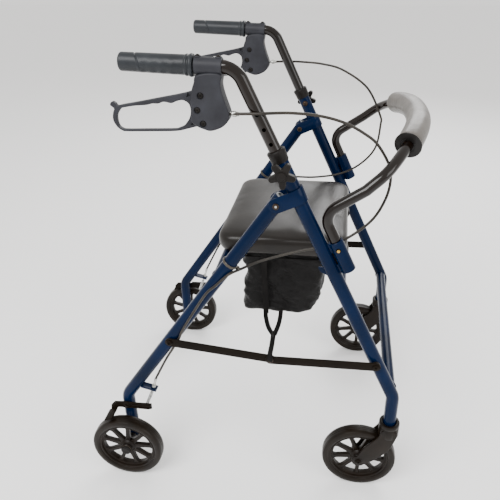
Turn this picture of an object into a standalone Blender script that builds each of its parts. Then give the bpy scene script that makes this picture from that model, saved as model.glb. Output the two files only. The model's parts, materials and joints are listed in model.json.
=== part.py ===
"""Folding four-wheel rollator walker: two aluminium side frames, seat, backrest and loop brakes.

Frame: +X is the way it rolls, +Y its left, +Z up; the origin is on the floor under its middle.
Every length is in metres. A name ending in right sits at -Y and one ending in left at +Y.
"""
import math

import bmesh
import bpy
from mathutils import Matrix, Vector

# ---- driving dimensions ----
GAP = 0.0003                 # air between pieces that touch
HALF_TRACK = 0.222           # middle of the walker to the plane of a side frame
FRAME_R, FRAME_BORE = 0.0127, 0.0109
HANDLE_R, HANDLE_BORE = 0.0105, 0.0090
BACK_R, BACK_BORE = 0.0095, 0.0080
CROSS_R, CROSS_BORE = 0.0110, 0.0095
WHEEL_R, TYRE_DEPTH, TYRE_W = 0.0762, 0.0150, 0.0265
HUB_R, HUB_W, SPOKES = 0.0125, 0.0284, 9
REAR_WHEEL_OUT = 0.0372      # rear wheel's centre plane outboard of the side frame
AXLE_R, BORE_SLACK = 0.0050, 0.0003
EAR, EAR_HALF_H = 0.0026, 0.0130   # fold bracket: thickness and half height of its ears

STEM_X, FRONT_BEND_Z, FRONT_FOOT_Z, FRONT_TOP_Z = 0.2945, 0.246, 0.172, 0.736
FRONT_LEAN = math.radians(25.0)
CASTER_TRAIL = 0.0557
FOLD_X, FOLD_Z = 0.0670, 0.6485
REAR_LEAN = math.radians(34.9)
REAR_X, REAR_FOOT_Z = -0.2540, 0.0600
REAR_TOP_RISE = 0.014        # rear tube above the fold bolt
BEND_R = 0.040

HANDLE_Z, HANDLE_LOW_Z, HANDLE_BEND_R = 0.8655, 0.600, 0.034
GRIP_FRONT_X, GRIP_REAR_X, GRIP_RISE = -0.0588, -0.1750, 0.036
SEAT_BAR_Z, REAR_BAR_Z = 0.4945, 0.492
SEAT_REAR_X, SEAT_FRONT_X, SEAT_HALF_W = -0.056, 0.189, 0.155
SEAT_LOW_Z, SEAT_TOP_Z = 0.5118, 0.5470
FRONT_BAR_Z = 0.262
BRACE_REAR_Z, BRACE_FRONT_Z, BRACE_SAG, BRACE_W = 0.3481, 0.3320, 0.0120, 0.0180
LEVER_X, LEVER_Z, LEVER_HALF_T = -0.0487, 0.8250, 0.0045
BRAKE_X, BRAKE_Z, SHOE_GAP = -0.2530, 0.1730, 0.0062
SLEEVE_OFFSET, SLEEVE_LOW_Z, SLEEVE_TOP_Z, BUTTON_Z = 0.0268, 0.5279, 0.5833, 0.5700
KNOB_Z = 0.7087
PAD_R, PAD_RIGHT_Y, PAD_LEFT_Y = 0.0240, -0.150, 0.158
CABLE_R = 0.0020

SIDES = (("right", -1), ("left", 1))

for leftover in list(bpy.data.objects):
    bpy.data.objects.remove(leftover, do_unlink=True)


# ---- materials ----
def material(name, colour, roughness, metallic=0.0):
    made = bpy.data.materials.new(name)
    made.use_nodes = True
    shader = made.node_tree.nodes["Principled BSDF"]
    shader.inputs["Base Color"].default_value = (*colour, 1.0)
    shader.inputs["Roughness"].default_value = roughness
    shader.inputs["Metallic"].default_value = metallic
    return made


BLUE = material("blue_paint", (0.004, 0.028, 0.105), 0.28, 0.2)
BLACK_PAINT = material("black_paint", (0.012, 0.010, 0.009), 0.22, 0.2)
BLACK_STEEL = material("black_steel", (0.014, 0.013, 0.012), 0.40, 0.3)
PLASTIC = material("charcoal_plastic", (0.040, 0.043, 0.048), 0.45)
GRIP_RUBBER = material("grip_rubber", (0.022, 0.023, 0.025), 0.62)
WHEEL_PLASTIC = material("wheel_plastic", (0.018, 0.014, 0.011), 0.38)
TYRE_RUBBER = material("tyre_rubber", (0.020, 0.017, 0.014), 0.70)
STEEL = material("zinc_steel", (0.55, 0.55, 0.53), 0.30, 1.0)
BRASS = material("brass", (0.72, 0.48, 0.13), 0.25, 1.0)
VINYL = material("seat_vinyl", (0.020, 0.019, 0.018), 0.30)
FOAM = material("grey_foam", (0.33, 0.32, 0.30), 0.50)
NYLON = material("black_nylon", (0.010, 0.010, 0.011), 0.80)
CABLE = material("cable_sheath", (0.030, 0.024, 0.020), 0.45)


# ---- shape helpers ----
def finish(name, shape, finish_material):
    """Turn a bmesh into a linked object with outward faces and smooth round sides."""
    bmesh.ops.remove_doubles(shape, verts=shape.verts, dist=1e-6)
    bmesh.ops.recalc_face_normals(shape, faces=shape.faces)
    mesh = bpy.data.meshes.new(name)
    shape.to_mesh(mesh)
    shape.free()
    mesh.materials.append(finish_material)
    mesh.shade_smooth()
    mesh.set_sharp_from_angle(angle=math.radians(32))
    made = bpy.data.objects.new(name, mesh)
    bpy.context.scene.collection.objects.link(made)
    return made


def fillet(corners, radius, steps=4):
    """The corners joined by straight runs, with an arc of the radius at each inner corner."""
    corners = [Vector(c) for c in corners]
    out = [corners[0]]
    for before, corner, after in zip(corners, corners[1:], corners[2:]):
        back, on = (before - corner).normalized(), (after - corner).normalized()
        half = back.angle(on) / 2
        reach = radius / math.tan(half)
        centre = corner + (back + on).normalized() * (radius / math.sin(half))
        first, last = corner + back * reach - centre, corner + on * reach - centre
        sweep_angle = first.angle(last)
        axis = first.cross(last).normalized()
        for step in range(steps + 1):
            turn = Matrix.Rotation(sweep_angle * step / steps, 3, axis)
            out.append(centre + turn @ first)
    return out + [corners[-1]]


def frames_along(path):
    """A plane at each point of the path, with no twist from one to the next."""
    steps = [b - a for a, b in zip(path, path[1:])]
    ways = [steps[0]]
    ways += [a.normalized() + b.normalized() for a, b in zip(steps, steps[1:])]
    ways.append(steps[-1])
    up = Vector((0, 1, 0)) if abs(steps[0].normalized().y) < 0.8 else Vector((0, 0, 1))
    out = []
    for way in ways:
        way = way.normalized()
        up = (up - way * up.dot(way)).normalized()
        out.append((way, up, way.cross(up)))
    return out


def section_rings(shape, path, section):
    """One ring of vertices at each point of the path; section is a list of (u, v)."""
    path = [Vector(p) for p in path]
    frames = frames_along(path)
    return [[shape.verts.new(point + up * u + side * v) for u, v in section]
            for point, (_, up, side) in zip(path, frames)]


def bridge(shape, ring_a, ring_b):
    count = len(ring_a)
    for k in range(count):
        shape.faces.new((ring_a[k], ring_a[(k + 1) % count], ring_b[(k + 1) % count], ring_b[k]))


def circle(radius, sides):
    return [(radius * math.cos(2 * math.pi * k / sides), radius * math.sin(2 * math.pi * k / sides))
            for k in range(sides)]


def tube(name, path, radius, finish_material, bore=0.0, sides=16):
    """A round bar along the path, hollow and open at both ends where a bore is given."""
    shape = bmesh.new()
    outer = section_rings(shape, path, circle(radius, sides))
    for a, b in zip(outer, outer[1:]):
        bridge(shape, a, b)
    if bore:
        inner = section_rings(shape, path, circle(bore, sides))
        for a, b in zip(inner, inner[1:]):
            bridge(shape, b, a)
        bridge(shape, inner[0], outer[0])
        bridge(shape, outer[-1], inner[-1])
    else:
        shape.faces.new(outer[0])
        shape.faces.new(outer[-1])
    return finish(name, shape, finish_material)


def strip(name, path, width, thickness, finish_material):
    """A flat strap along the path, its width starting along X."""
    half_w, half_t = width / 2, thickness / 2
    section = [(half_t, half_w), (-half_t, half_w), (-half_t, -half_w), (half_t, -half_w)]
    shape = bmesh.new()
    rings = section_rings(shape, path, section)
    for a, b in zip(rings, rings[1:]):
        bridge(shape, a, b)
    shape.faces.new(rings[0])
    shape.faces.new(rings[-1])
    return finish(name, shape, finish_material)


def turned(name, profile, place, finish_material, sides=16, loop=False):
    """A turned piece: (radius, height) points about the placed Z axis; a loop leaves a bore."""
    shape = bmesh.new()
    rings = []
    for radius, height in profile:
        count = 1 if radius < 1e-6 else sides
        rings.append([shape.verts.new(place @ Vector((x, y, height)))
                      for x, y in circle(radius, count)])
    pairs = list(zip(rings, rings[1:]))
    if loop:
        pairs.append((rings[-1], rings[0]))
    for a, b in pairs:
        if len(a) == len(b) == 1:
            continue
        if len(a) == 1:
            for k in range(sides):
                shape.faces.new((a[0], b[(k + 1) % sides], b[k]))
        elif len(b) == 1:
            for k in range(sides):
                shape.faces.new((a[k], a[(k + 1) % sides], b[0]))
        else:
            bridge(shape, a, b)
    if not loop and len(rings[0]) > 1:
        shape.faces.new(rings[0])
    if not loop and len(rings[-1]) > 1:
        shape.faces.new(rings[-1])
    return finish(name, shape, finish_material)


def plate(name, outline, y_from, y_to, finish_material):
    """A flat piece: an (x, z) outline, thick along Y."""
    shape = bmesh.new()
    near = [shape.verts.new((x, y_from, z)) for x, z in outline]
    far = [shape.verts.new((x, y_to, z)) for x, z in outline]
    bridge(shape, near, far)
    shape.faces.new(near)
    shape.faces.new(far)
    return finish(name, shape, finish_material)


def box(name, low, high, finish_material):
    (x0, y0, z0), (x1, y1, z1) = low, high
    return plate(name, [(x0, z0), (x1, z0), (x1, z1), (x0, z1)], y0, y1, finish_material)


def across(x, z, y_from, side):
    """Places a turned piece's Z axis along Y, heading outboard from y_from on that side."""
    return Matrix.Translation((x, side * y_from, z)) @ Matrix.Rotation(-side * math.pi / 2, 4, "X")


def pin(name, x, z, y_from, y_to, side, radius, finish_material, sides=16):
    profile = [(radius, 0.0), (radius, y_to - y_from)]
    return turned(name, profile, across(x, z, y_from, side), finish_material, sides)


def combine(target, tool, operation):
    """Join or cut the target with the tool, which becomes a hidden guide."""
    step = target.modifiers.new(operation.title(), "BOOLEAN")
    step.operation = operation
    step.solver = "EXACT"
    step.object = tool
    tool.hide_render = True
    tool.display_type = "WIRE"
    return target


def weld(target, tool):
    return combine(target, tool, "UNION")


def cut(target, tool):
    return combine(target, tool, "DIFFERENCE")


def drill(target, x, z, y_from, y_to, side, radius, sides=16):
    """Cut a round hole along Y."""
    return cut(target, pin(f"{target.name}_drill_{len(target.modifiers)}", x, z, y_from, y_to,
                           side, radius, BLACK_STEEL, sides))


def capsule(start, end, width, steps=5):
    """Outline of a flat bar with round ends, from start to end in (x, z)."""
    along = math.atan2(end[1] - start[1], end[0] - start[0])
    out = []
    for centre, first in ((end, -math.pi / 2), (start, math.pi / 2)):
        for step in range(steps + 1):
            angle = along + first + math.pi * step / steps
            out.append((centre[0] + width / 2 * math.cos(angle),
                        centre[1] + width / 2 * math.sin(angle)))
    return out


# ---- places worked out from the dimensions ----
def front_x(z):
    """The front leg's axis at a height, above its bend."""
    return STEM_X - math.tan(FRONT_LEAN) * (z - FRONT_BEND_Z)


def rear_x(z):
    """The rear leg's axis at a height, above its bend."""
    return FOLD_X - math.tan(REAR_LEAN) * (FOLD_Z - z)


LEG_UP = Vector((-math.sin(FRONT_LEAN), 0, math.cos(FRONT_LEAN)))
REAR_UP = Vector((math.sin(REAR_LEAN), 0, math.cos(REAR_LEAN)))
REAR_BEND_Z = FOLD_Z - (FOLD_X - REAR_X) / math.tan(REAR_LEAN)
FRONT_AXLE_X = STEM_X - CASTER_TRAIL
REAR_WHEEL_Y = HALF_TRACK + REAR_WHEEL_OUT
OUTER = HALF_TRACK + FRAME_R             # outer face of a leg
SEAT_HINGE_X = front_x(SEAT_BAR_Z)
BRACE_A = (rear_x(BRACE_REAR_Z), BRACE_REAR_Z)
BRACE_B = (front_x(BRACE_FRONT_Z), BRACE_FRONT_Z)
BRACE_M = ((BRACE_A[0] + BRACE_B[0]) / 2, (BRACE_A[1] + BRACE_B[1]) / 2 - BRACE_SAG)
HANDLE_BEND_X = front_x(HANDLE_Z)
GRIP_WAY = Vector((-1, 0, GRIP_RISE)).normalized()


def axis_place(point, way):
    """Places a turned piece's Z axis at a point along a direction."""
    return Matrix.Translation(point) @ Vector(way).to_track_quat("Z", "Y").to_matrix().to_4x4()


# ---- front frame ----
def front_leg(label, side):
    y = side * HALF_TRACK
    path = fillet([(front_x(FRONT_TOP_Z), y, FRONT_TOP_Z), (STEM_X, y, FRONT_BEND_Z),
                   (STEM_X, y, FRONT_FOOT_Z)], BEND_R)
    leg = tube(f"front_leg_{label}", path, FRAME_R, BLUE, FRAME_BORE)
    drill(leg, front_x(KNOB_Z), KNOB_Z, HALF_TRACK + 0.006, OUTER + 0.006, side, 0.0034, 12)


def crossbar(name, x, z, way):
    """A tube between the side frames, its ends coped to the legs it is welded to."""
    bar = tube(name, [(x, -HALF_TRACK, z), (x, HALF_TRACK, z)], CROSS_R, BLUE, CROSS_BORE)
    for label, side in SIDES:
        middle = Vector((x, side * HALF_TRACK, z))
        cut(bar, tube(f"{name}_cope_{label}", [middle - way * 0.05, middle + way * 0.05],
                      FRAME_R + GAP, BLUE, 0.0, 24))
    return bar


def seat_front_bar():
    """The seat hinges on this bar, which has a gusset plate beside each leg."""
    x, z = SEAT_HINGE_X, SEAT_BAR_Z
    bar = crossbar("seat_crossbar_front", x, z, LEG_UP)
    outline = [(x - 0.0390, z + 0.0250), (x - 0.0360, z + 0.0165), (x - 0.0250, z + 0.0100),
               (x - 0.0060, z - 0.0090), (x, z - 0.0105), (x + 0.0070, z - 0.0070),
               (x + 0.0080, z), (x - 0.0120, z + 0.0260)]
    for label, side in SIDES:
        plane = HALF_TRACK - FRAME_R - GAP
        ends = sorted((side * (plane - 0.0060), side * (plane - 0.0020)))
        weld(bar, plate(f"seat_gusset_{label}", outline, *ends, BLUE))


def pivot_bracket(label, side):
    """A steel strap round the front leg whose two ears carry the rear leg on the fold bolt."""
    y = side * HALF_TRACK
    bolt = Vector((FOLD_X, y, FOLD_Z))
    back = Vector((-math.cos(FRONT_LEAN), 0, -math.sin(FRONT_LEAN)))
    leg = bolt - back * (front_x(FOLD_Z) - FOLD_X) * math.cos(FRONT_LEAN)
    inner, outer, reach, arc = FRAME_R + GAP, FRAME_R + GAP + EAR, 0.060, 8

    def saddle(radius):
        bend = [math.pi * k / arc for k in range(arc + 1)]
        return [(reach, -radius)] + [(-radius * math.sin(a), -radius * math.cos(a))
                                     for a in bend] + [(reach, radius)]

    outline = saddle(outer) + saddle(inner)[::-1]
    shape = bmesh.new()
    ends = [[shape.verts.new(leg + back * u + Vector((0, v, 0)) + LEG_UP * height)
             for u, v in outline] for height in (-EAR_HALF_H * 1.2, EAR_HALF_H * 1.2)]
    bridge(shape, *ends)
    shape.faces.new(ends[0])
    shape.faces.new(ends[1])
    bracket = finish(f"pivot_bracket_{label}", shape, BLUE)
    front = leg - back * 0.030
    mask = [front - LEG_UP * EAR_HALF_H, front + LEG_UP * EAR_HALF_H]
    mask += [bolt + (LEG_UP * math.cos(a) + back * math.sin(a)) * EAR_HALF_H
             for a in (math.pi * k / 8 for k in range(9))]
    ears = plate(f"pivot_ears_{label}", [(p.x, p.z) for p in mask], y - 0.03, y + 0.03, BLUE)
    combine(bracket, ears, "INTERSECT")
    drill(bracket, FOLD_X, FOLD_Z, HALF_TRACK - 0.04, HALF_TRACK + 0.04, side, 0.0043)


def pivot_bolt(label, side):
    ear = FRAME_R + GAP + EAR
    y = HALF_TRACK - ear
    profile = [(0.0, -0.0060), (0.0055, -0.0060), (0.0070, -0.0045), (0.0070, -GAP),
               (0.0040, -GAP), (0.0040, 2 * ear + GAP), (0.0085, 2 * ear + GAP),
               (0.0080, 2 * ear + 0.0025), (0.0045, 2 * ear + 0.0042), (0.0, 2 * ear + 0.0046)]
    turned(f"pivot_bolt_{label}", profile, across(FOLD_X, FOLD_Z, y, side), STEEL, 12)


def collar(label, side):
    """The plastic bush that closes the leg's mouth round the handle tube."""
    low_z, lip = 0.7205, 0.0006
    place = axis_place((front_x(low_z), side * HALF_TRACK, low_z), LEG_UP)
    mouth = (FRONT_TOP_Z - low_z) / math.cos(FRONT_LEAN) + lip
    profile = [(FRAME_R + GAP, 0.0), (0.0150, 0.0), (0.0162, 0.0020), (0.0162, mouth - 0.001),
               (0.0150, mouth + 0.0030), (HANDLE_R + GAP, mouth + 0.0030),
               (HANDLE_R + GAP, mouth), (FRAME_R + GAP, mouth)]
    turned(f"collar_{label}", profile, place, PLASTIC, 16, loop=True)


def height_knob(label, side):
    """A five-armed knob whose screw goes through the leg's wall to clamp the handle tube."""
    x, z = front_x(KNOB_Z), KNOB_Z
    near, far = OUTER + 0.0130, OUTER + 0.0240
    outline = []
    for k in range(5):
        arm = math.radians(58 + 72 * k)
        for turn, radius in ((-20, 0.0168), (-9, 0.0220), (0, 0.0225), (9, 0.0220), (20, 0.0168),
                             (36, 0.0117)):
            angle = arm + math.radians(turn)
            outline.append((x + radius * math.cos(angle), z + radius * math.sin(angle)))
    knob = plate(f"height_knob_{label}", outline, *sorted((side * near, side * far)), PLASTIC)
    profile = [(0.0030, HALF_TRACK + 0.0112), (0.0030, OUTER + 0.0010), (0.0070, OUTER + 0.0010),
               (0.0085, OUTER + 0.0180), (0.0085, far + 0.0020), (0.0, far + 0.0030)]
    hub = turned(f"knob_hub_{label}", profile, across(x, z, 0.0, side), PLASTIC, 16)
    weld(knob, hub)


def backrest_sleeve(label, side):
    """The socket welded to the front of the leg, with a hole for the spring button."""
    low = Vector((front_x(SLEEVE_LOW_Z) + SLEEVE_OFFSET / math.cos(FRONT_LEAN),
                  side * HALF_TRACK, SLEEVE_LOW_Z))
    high = Vector((front_x(SLEEVE_TOP_Z) + SLEEVE_OFFSET / math.cos(FRONT_LEAN),
                   side * HALF_TRACK, SLEEVE_TOP_Z))
    sleeve = tube(f"backrest_sleeve_{label}", [low, high], FRAME_R, BLUE, BACK_R + 0.0004, 20)
    forward = Vector((math.cos(FRONT_LEAN), 0, math.sin(FRONT_LEAN)))
    for place, (start, end) in (("low", (0.002, 0.012)), ("high", (0.046, 0.056))):
        foot = low - forward * SLEEVE_OFFSET
        corners = [foot + forward * u + LEG_UP * v
                   for u, v in ((0.0130, start), (0.0130, end), (0.0158, end), (0.0158, start))]
        y = side * HALF_TRACK
        weld(sleeve, plate(f"sleeve_weld_{place}_{label}", [(c.x, c.z) for c in corners],
                           y - 0.003, y + 0.003, BLUE))
    x, z = button_spot()
    drill(sleeve, x, z, HALF_TRACK, HALF_TRACK + 0.02, side, 0.0034, 12)


def button_spot():
    z = BUTTON_Z
    return front_x(z) + SLEEVE_OFFSET / math.cos(FRONT_LEAN), z


def backrest():
    """One bar from sleeve to sleeve, with the foam pad along its middle."""
    low_z = SLEEVE_LOW_Z + 0.004
    foot = (front_x(low_z) + SLEEVE_OFFSET / math.cos(FRONT_LEAN), HALF_TRACK, low_z)
    elbow, shoulder = (0.1442, HALF_TRACK, 0.6318), (0.2120, HALF_TRACK, 0.6770)
    lower = fillet([foot, elbow, shoulder], 0.030, 4)
    half_top = [shoulder, (0.2454, 0.2060, 0.7052), (0.2770, 0.1500, 0.7330),
                (0.2990, 0.0750, 0.7462)]
    upper = smooth_route(half_top + [(0.3060, 0.0, 0.7490)]
                         + [(x, -y, z) for x, y, z in half_top[::-1]], 0.027)
    right = [Vector((p.x, -p.y, p.z)) for p in lower[-2::-1]]
    bar = tube("backrest_tube", lower[:-1] + upper + right, BACK_R, BLACK_PAINT, BACK_BORE)
    x, z = button_spot()
    for _, side in SIDES:
        drill(bar, x, z, HALF_TRACK, HALF_TRACK + 0.02, side, 0.0034, 12)
    tube("backrest_pad", between(upper, PAD_RIGHT_Y, PAD_LEFT_Y), PAD_R, FOAM, BACK_R + 0.0004)


def between(path, low, high):
    """The stretch of a path, which runs across the walker, from one Y to another."""
    out = []
    for a, b in zip(path, path[1:]):
        for limit in (high, low):
            if min(a.y, b.y) < limit < max(a.y, b.y):
                out.append(a.lerp(b, (a.y - limit) / (a.y - b.y)))
        if low < b.y < high:
            out.append(b)
    return sorted(out, key=lambda p: -p.y)


def spring_button(label, side):
    profile = [(0.0, 0.0040), (0.0030, 0.0040), (0.0030, 0.0136), (0.0024, 0.0147), (0.0, 0.0151)]
    turned(f"spring_button_{label}", profile, across(*button_spot(), HALF_TRACK, side), BRASS, 12)


# ---- handles and brakes ----
def handle_tube(label, side):
    y = side * HALF_TRACK
    end = Vector((HANDLE_BEND_X, y, HANDLE_Z)) + GRIP_WAY * (HANDLE_BEND_X - GRIP_REAR_X - 0.006)
    path = fillet([(front_x(HANDLE_LOW_Z), y, HANDLE_LOW_Z), (HANDLE_BEND_X, y, HANDLE_Z), end],
                  HANDLE_BEND_R, 7)
    handle = tube(f"handle_tube_{label}", path, HANDLE_R, BLACK_PAINT, HANDLE_BORE)
    for step in range(-1, 3):
        centre = Vector((front_x(KNOB_Z), 0, KNOB_Z)) + LEG_UP * (0.0254 * (step + 1) + 0.0215)
        drill(handle, centre.x, centre.z, HALF_TRACK + 0.004, HALF_TRACK + 0.02, side, 0.0032, 10)


def handle_point(x):
    """A point on the handle's grip axis."""
    return Vector((x, 0, HANDLE_Z + GRIP_RISE * (HANDLE_BEND_X - x)))


def grip(label, side):
    point = handle_point(GRIP_FRONT_X)
    place = axis_place((point.x, side * HALF_TRACK, point.z), GRIP_WAY)
    length = GRIP_FRONT_X - GRIP_REAR_X
    profile = [(HANDLE_R + 0.0003, 0.0), (0.0170, 0.0), (0.0178, 0.003), (0.0166, 0.007),
               (0.0152, 0.014), (0.0150, 0.060), (0.0146, length - 0.012),
               (0.0140, length - 0.004), (0.0115, length), (0.0, length + 0.0005),
               (0.0, length - 0.0035), (HANDLE_R + 0.0003, length - 0.0035)]
    turned(f"grip_{label}", profile, place, GRIP_RUBBER, 16, loop=True)


def brake_housing(label, side):
    """Clamp ring and casing; the lever swings in the slot between its cheeks."""
    y = side * HALF_TRACK
    outline = [(-0.0560, 0.8560), (-0.0145, 0.8560), (-0.0165, 0.8350), (-0.0125, 0.8170),
               (-0.0060, 0.8000), (-0.0045, 0.7880), (-0.0100, 0.7790), (-0.0220, 0.7720),
               (-0.0375, 0.7694), (-0.0500, 0.7735), (-0.0590, 0.7785), (-0.0640, 0.7900),
               (-0.0645, 0.8150), (-0.0630, 0.8320)]
    housing = plate(f"brake_housing_{label}", outline, y - 0.0130, y + 0.0130, PLASTIC)
    front, rear = handle_point(-0.0145), handle_point(-0.0572)
    ring = tube(f"housing_ring_{label}", [(front.x, y, front.z), (rear.x, y, rear.z)], 0.0139,
                PLASTIC, 0.0, 24)
    weld(housing, ring)
    slot = box(f"housing_slot_{label}", (-0.0800, y - 0.0068, 0.7600), (-0.0200, y + 0.0068, 0.8460),
               PLASTIC)
    cut(housing, slot)
    weld(housing, pin(f"lever_pin_{label}", LEVER_X, LEVER_Z, HALF_TRACK - 0.009,
                      HALF_TRACK + 0.009, side, 0.0040, STEEL))
    front, rear = handle_point(0.0), handle_point(-0.0700)
    bore = tube(f"housing_bore_{label}", [(front.x, y, front.z), (rear.x, y, rear.z)],
                HANDLE_R + 0.0003, PLASTIC, 0.0, 24)
    cut(housing, bore)


def brake_lever(label, side):
    """The loop lever: squeezed up towards the grip it pulls the cable."""
    y = side * HALF_TRACK
    outline = [(-0.0340, 0.8310), (-0.0400, 0.8380), (-0.0520, 0.8375), (-0.0656, 0.8300),
               (-0.1180, 0.8184), (-0.1769, 0.8066), (-0.1870, 0.8044), (-0.1905, 0.8088),
               (-0.1955, 0.8106), (-0.1993, 0.8055), (-0.1930, 0.8001), (-0.1970, 0.7864),
               (-0.1965, 0.7775), (-0.1915, 0.7695), (-0.1840, 0.7643), (-0.1760, 0.7631),
               (-0.1041, 0.7652), (-0.0875, 0.7670), (-0.0620, 0.7735), (-0.0440, 0.7780),
               (-0.0350, 0.7850), (-0.0330, 0.8000)]
    lever = plate(f"brake_lever_{label}", outline, y - LEVER_HALF_T, y + LEVER_HALF_T, PLASTIC)
    opening = [(-0.0680, 0.7979), (-0.0688, 0.8072), (-0.0724, 0.8135), (-0.0800, 0.8164)]
    for k in range(3):
        x = -0.0890 - 0.0150 * k
        opening += [(x, 0.8140 - 0.0026 * k), (x - 0.0060, 0.8110 - 0.0024 * k)]
    opening += [(-0.1390, 0.8073), (-0.1740, 0.8010), (-0.1818, 0.7986), (-0.1880, 0.7930),
                (-0.1905, 0.7860), (-0.1890, 0.7770), (-0.1845, 0.7700), (-0.1761, 0.7663),
                (-0.0984, 0.7690), (-0.0900, 0.7705), (-0.0812, 0.7755), (-0.0740, 0.7815),
                (-0.0700, 0.7880)]
    hole = plate(f"lever_opening_{label}", opening, y - 0.02, y + 0.02, PLASTIC)
    cut(lever, hole)
    drill(lever, LEVER_X, LEVER_Z, HALF_TRACK - 0.03, HALF_TRACK + 0.03, side, 0.0043)


# ---- rear frame ----
def rear_leg(label, side):
    y = side * HALF_TRACK
    top = Vector((FOLD_X, y, FOLD_Z)) + REAR_UP * REAR_TOP_RISE
    path = fillet([top, (REAR_X, y, REAR_BEND_Z), (REAR_X, y, REAR_FOOT_Z)], BEND_R)
    leg = tube(f"rear_leg_{label}", path, FRAME_R, BLUE, FRAME_BORE)
    tab = [(-0.2235, 0.2185), (-0.1880, 0.2095), (-0.1880, 0.2060), (-0.2235, 0.2145)]
    weld(leg, plate(f"cable_tab_{label}", tab, y - 0.007, y + 0.007, BLUE))
    profile = [(0.0040, -0.0020), (0.0040, 0.0048), (0.0075, 0.0048), (0.0070, 0.0070),
               (0.0, 0.0078)]
    weld(leg, turned(f"brake_pin_{label}", profile, across(BRAKE_X, BRAKE_Z, OUTER, side), BLUE))
    drill(leg, FOLD_X, FOLD_Z, HALF_TRACK - 0.03, HALF_TRACK + 0.03, side, 0.0043)
    drill(leg, REAR_X, WHEEL_R, HALF_TRACK - 0.03, HALF_TRACK + 0.03, side, 0.0053)


def cable_clip(label, side):
    z = 0.527
    place = axis_place(Vector((rear_x(z), side * HALF_TRACK, z)), REAR_UP)
    profile = [(FRAME_R + GAP, -0.0026), (0.0146, -0.0026), (0.0152, -0.0016),
               (0.0152, 0.0016), (0.0146, 0.0026), (FRAME_R + GAP, 0.0026)]
    turned(f"cable_clip_{label}", profile, place, PLASTIC, 16, loop=True)


def brake_arm(label, side):
    """The pressed arm on the leg; its shoe hangs over the tyre behind the wheel's top."""
    inner, outer = OUTER + 0.0005, OUTER + 0.0043
    outline = [(-0.1985, 0.1790), (-0.1995, 0.1665), (-0.2060, 0.1630), (-0.2430, 0.1628),
               (-0.2530, 0.1610), (-0.2640, 0.1628), (-0.2735, 0.1620), (-0.2765, 0.1575),
               (-0.2880, 0.1530), (-0.2900, 0.1560), (-0.2885, 0.1670), (-0.2800, 0.1770),
               (-0.2530, 0.1790), (-0.2400, 0.1780), (-0.2080, 0.1780)]
    arm = plate(f"brake_arm_{label}", outline, *sorted((side * inner, side * outer)), BLACK_STEEL)
    drill(arm, BRAKE_X, BRAKE_Z, HALF_TRACK, HALF_TRACK + 0.05, side, 0.0043)
    near, far = WHEEL_R + SHOE_GAP, WHEEL_R + SHOE_GAP + 0.0050
    shoe = [(REAR_X - r * math.sin(math.radians(a)), WHEEL_R + r * math.cos(math.radians(a)))
            for r, a in ((near, 15.0), (near, 29.0), (far, 29.0), (far, 15.0))]
    ends = sorted((side * (inner + 0.001), side * (REAR_WHEEL_Y + 0.010)))
    weld(arm, plate(f"brake_shoe_{label}", shoe, *ends, BLACK_STEEL))


# ---- wheels ----
def tyre(name, x, y):
    half, low = TYRE_W / 2, WHEEL_R - TYRE_DEPTH + GAP
    profile = [(low, -half + 0.002), (low + 0.006, -half), (WHEEL_R - 0.003, -half + 0.001),
               (WHEEL_R, -half + 0.005), (WHEEL_R, half - 0.005), (WHEEL_R - 0.003, half - 0.001),
               (low + 0.006, half), (low, half - 0.002)]
    turned(name, profile, across(x, WHEEL_R, y, 1), TYRE_RUBBER, 32, loop=True)


def rim(name, x, y, first_spoke):
    """Hub, spokes and rim, one moulding; the first spoke's angle is from +X towards +Z."""
    edge, half = WHEEL_R - TYRE_DEPTH, 0.0100
    ring = turned(name, [(edge, -half), (edge, half), (edge - 0.005, half), (edge - 0.009, 0.004),
                         (edge - 0.009, -0.004), (edge - 0.005, -half)],
                  across(x, WHEEL_R, y, 1), WHEEL_PLASTIC, 32, loop=True)
    bore = AXLE_R + BORE_SLACK
    hub = turned(f"{name}_hub", [(bore, -HUB_W / 2), (HUB_R, -HUB_W / 2), (0.0170, -0.008),
                                 (0.0170, 0.008), (HUB_R, HUB_W / 2), (bore, HUB_W / 2)],
                 across(x, WHEEL_R, y, 1), WHEEL_PLASTIC, 16, loop=True)
    weld(ring, hub)
    for k in range(SPOKES):
        angle = 2 * math.pi * k / SPOKES + math.radians(first_spoke)
        way = Vector((math.cos(angle), math.sin(angle)))
        wide = Vector((-way.y, way.x))
        low, high = way * 0.0155, way * (edge - 0.0075)
        outline = [low - wide * 0.0042, low + wide * 0.0042, high + wide * 0.0030,
                   high - wide * 0.0030]
        spoke = plate(f"{name}_spoke_{k}", [(x + p.x, WHEEL_R + p.y) for p in outline],
                      y - 0.0045, y + 0.0045, WHEEL_PLASTIC)
        weld(ring, spoke)


def rear_axle(label, side):
    """From a head inside the leg, through it and a spacer, to the cap outside the wheel."""
    hub_in = REAR_WHEEL_Y - HUB_W / 2 - HALF_TRACK
    hub_out = REAR_WHEEL_Y + HUB_W / 2 - HALF_TRACK
    profile = [(0.0, -FRAME_R - 0.0046), (0.0080, -FRAME_R - 0.0046), (0.0080, -FRAME_R - GAP),
               (AXLE_R, -FRAME_R - GAP), (AXLE_R, FRAME_R + GAP), (0.0090, FRAME_R + GAP),
               (0.0090, hub_in - GAP), (AXLE_R, hub_in - GAP), (AXLE_R, hub_out + GAP),
               (0.0112, hub_out + GAP), (0.0104, hub_out + 0.0040), (0.0, hub_out + 0.0056)]
    turned(f"rear_axle_{label}", profile, across(REAR_X, WHEEL_R, HALF_TRACK, side), STEEL, 12)


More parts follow.
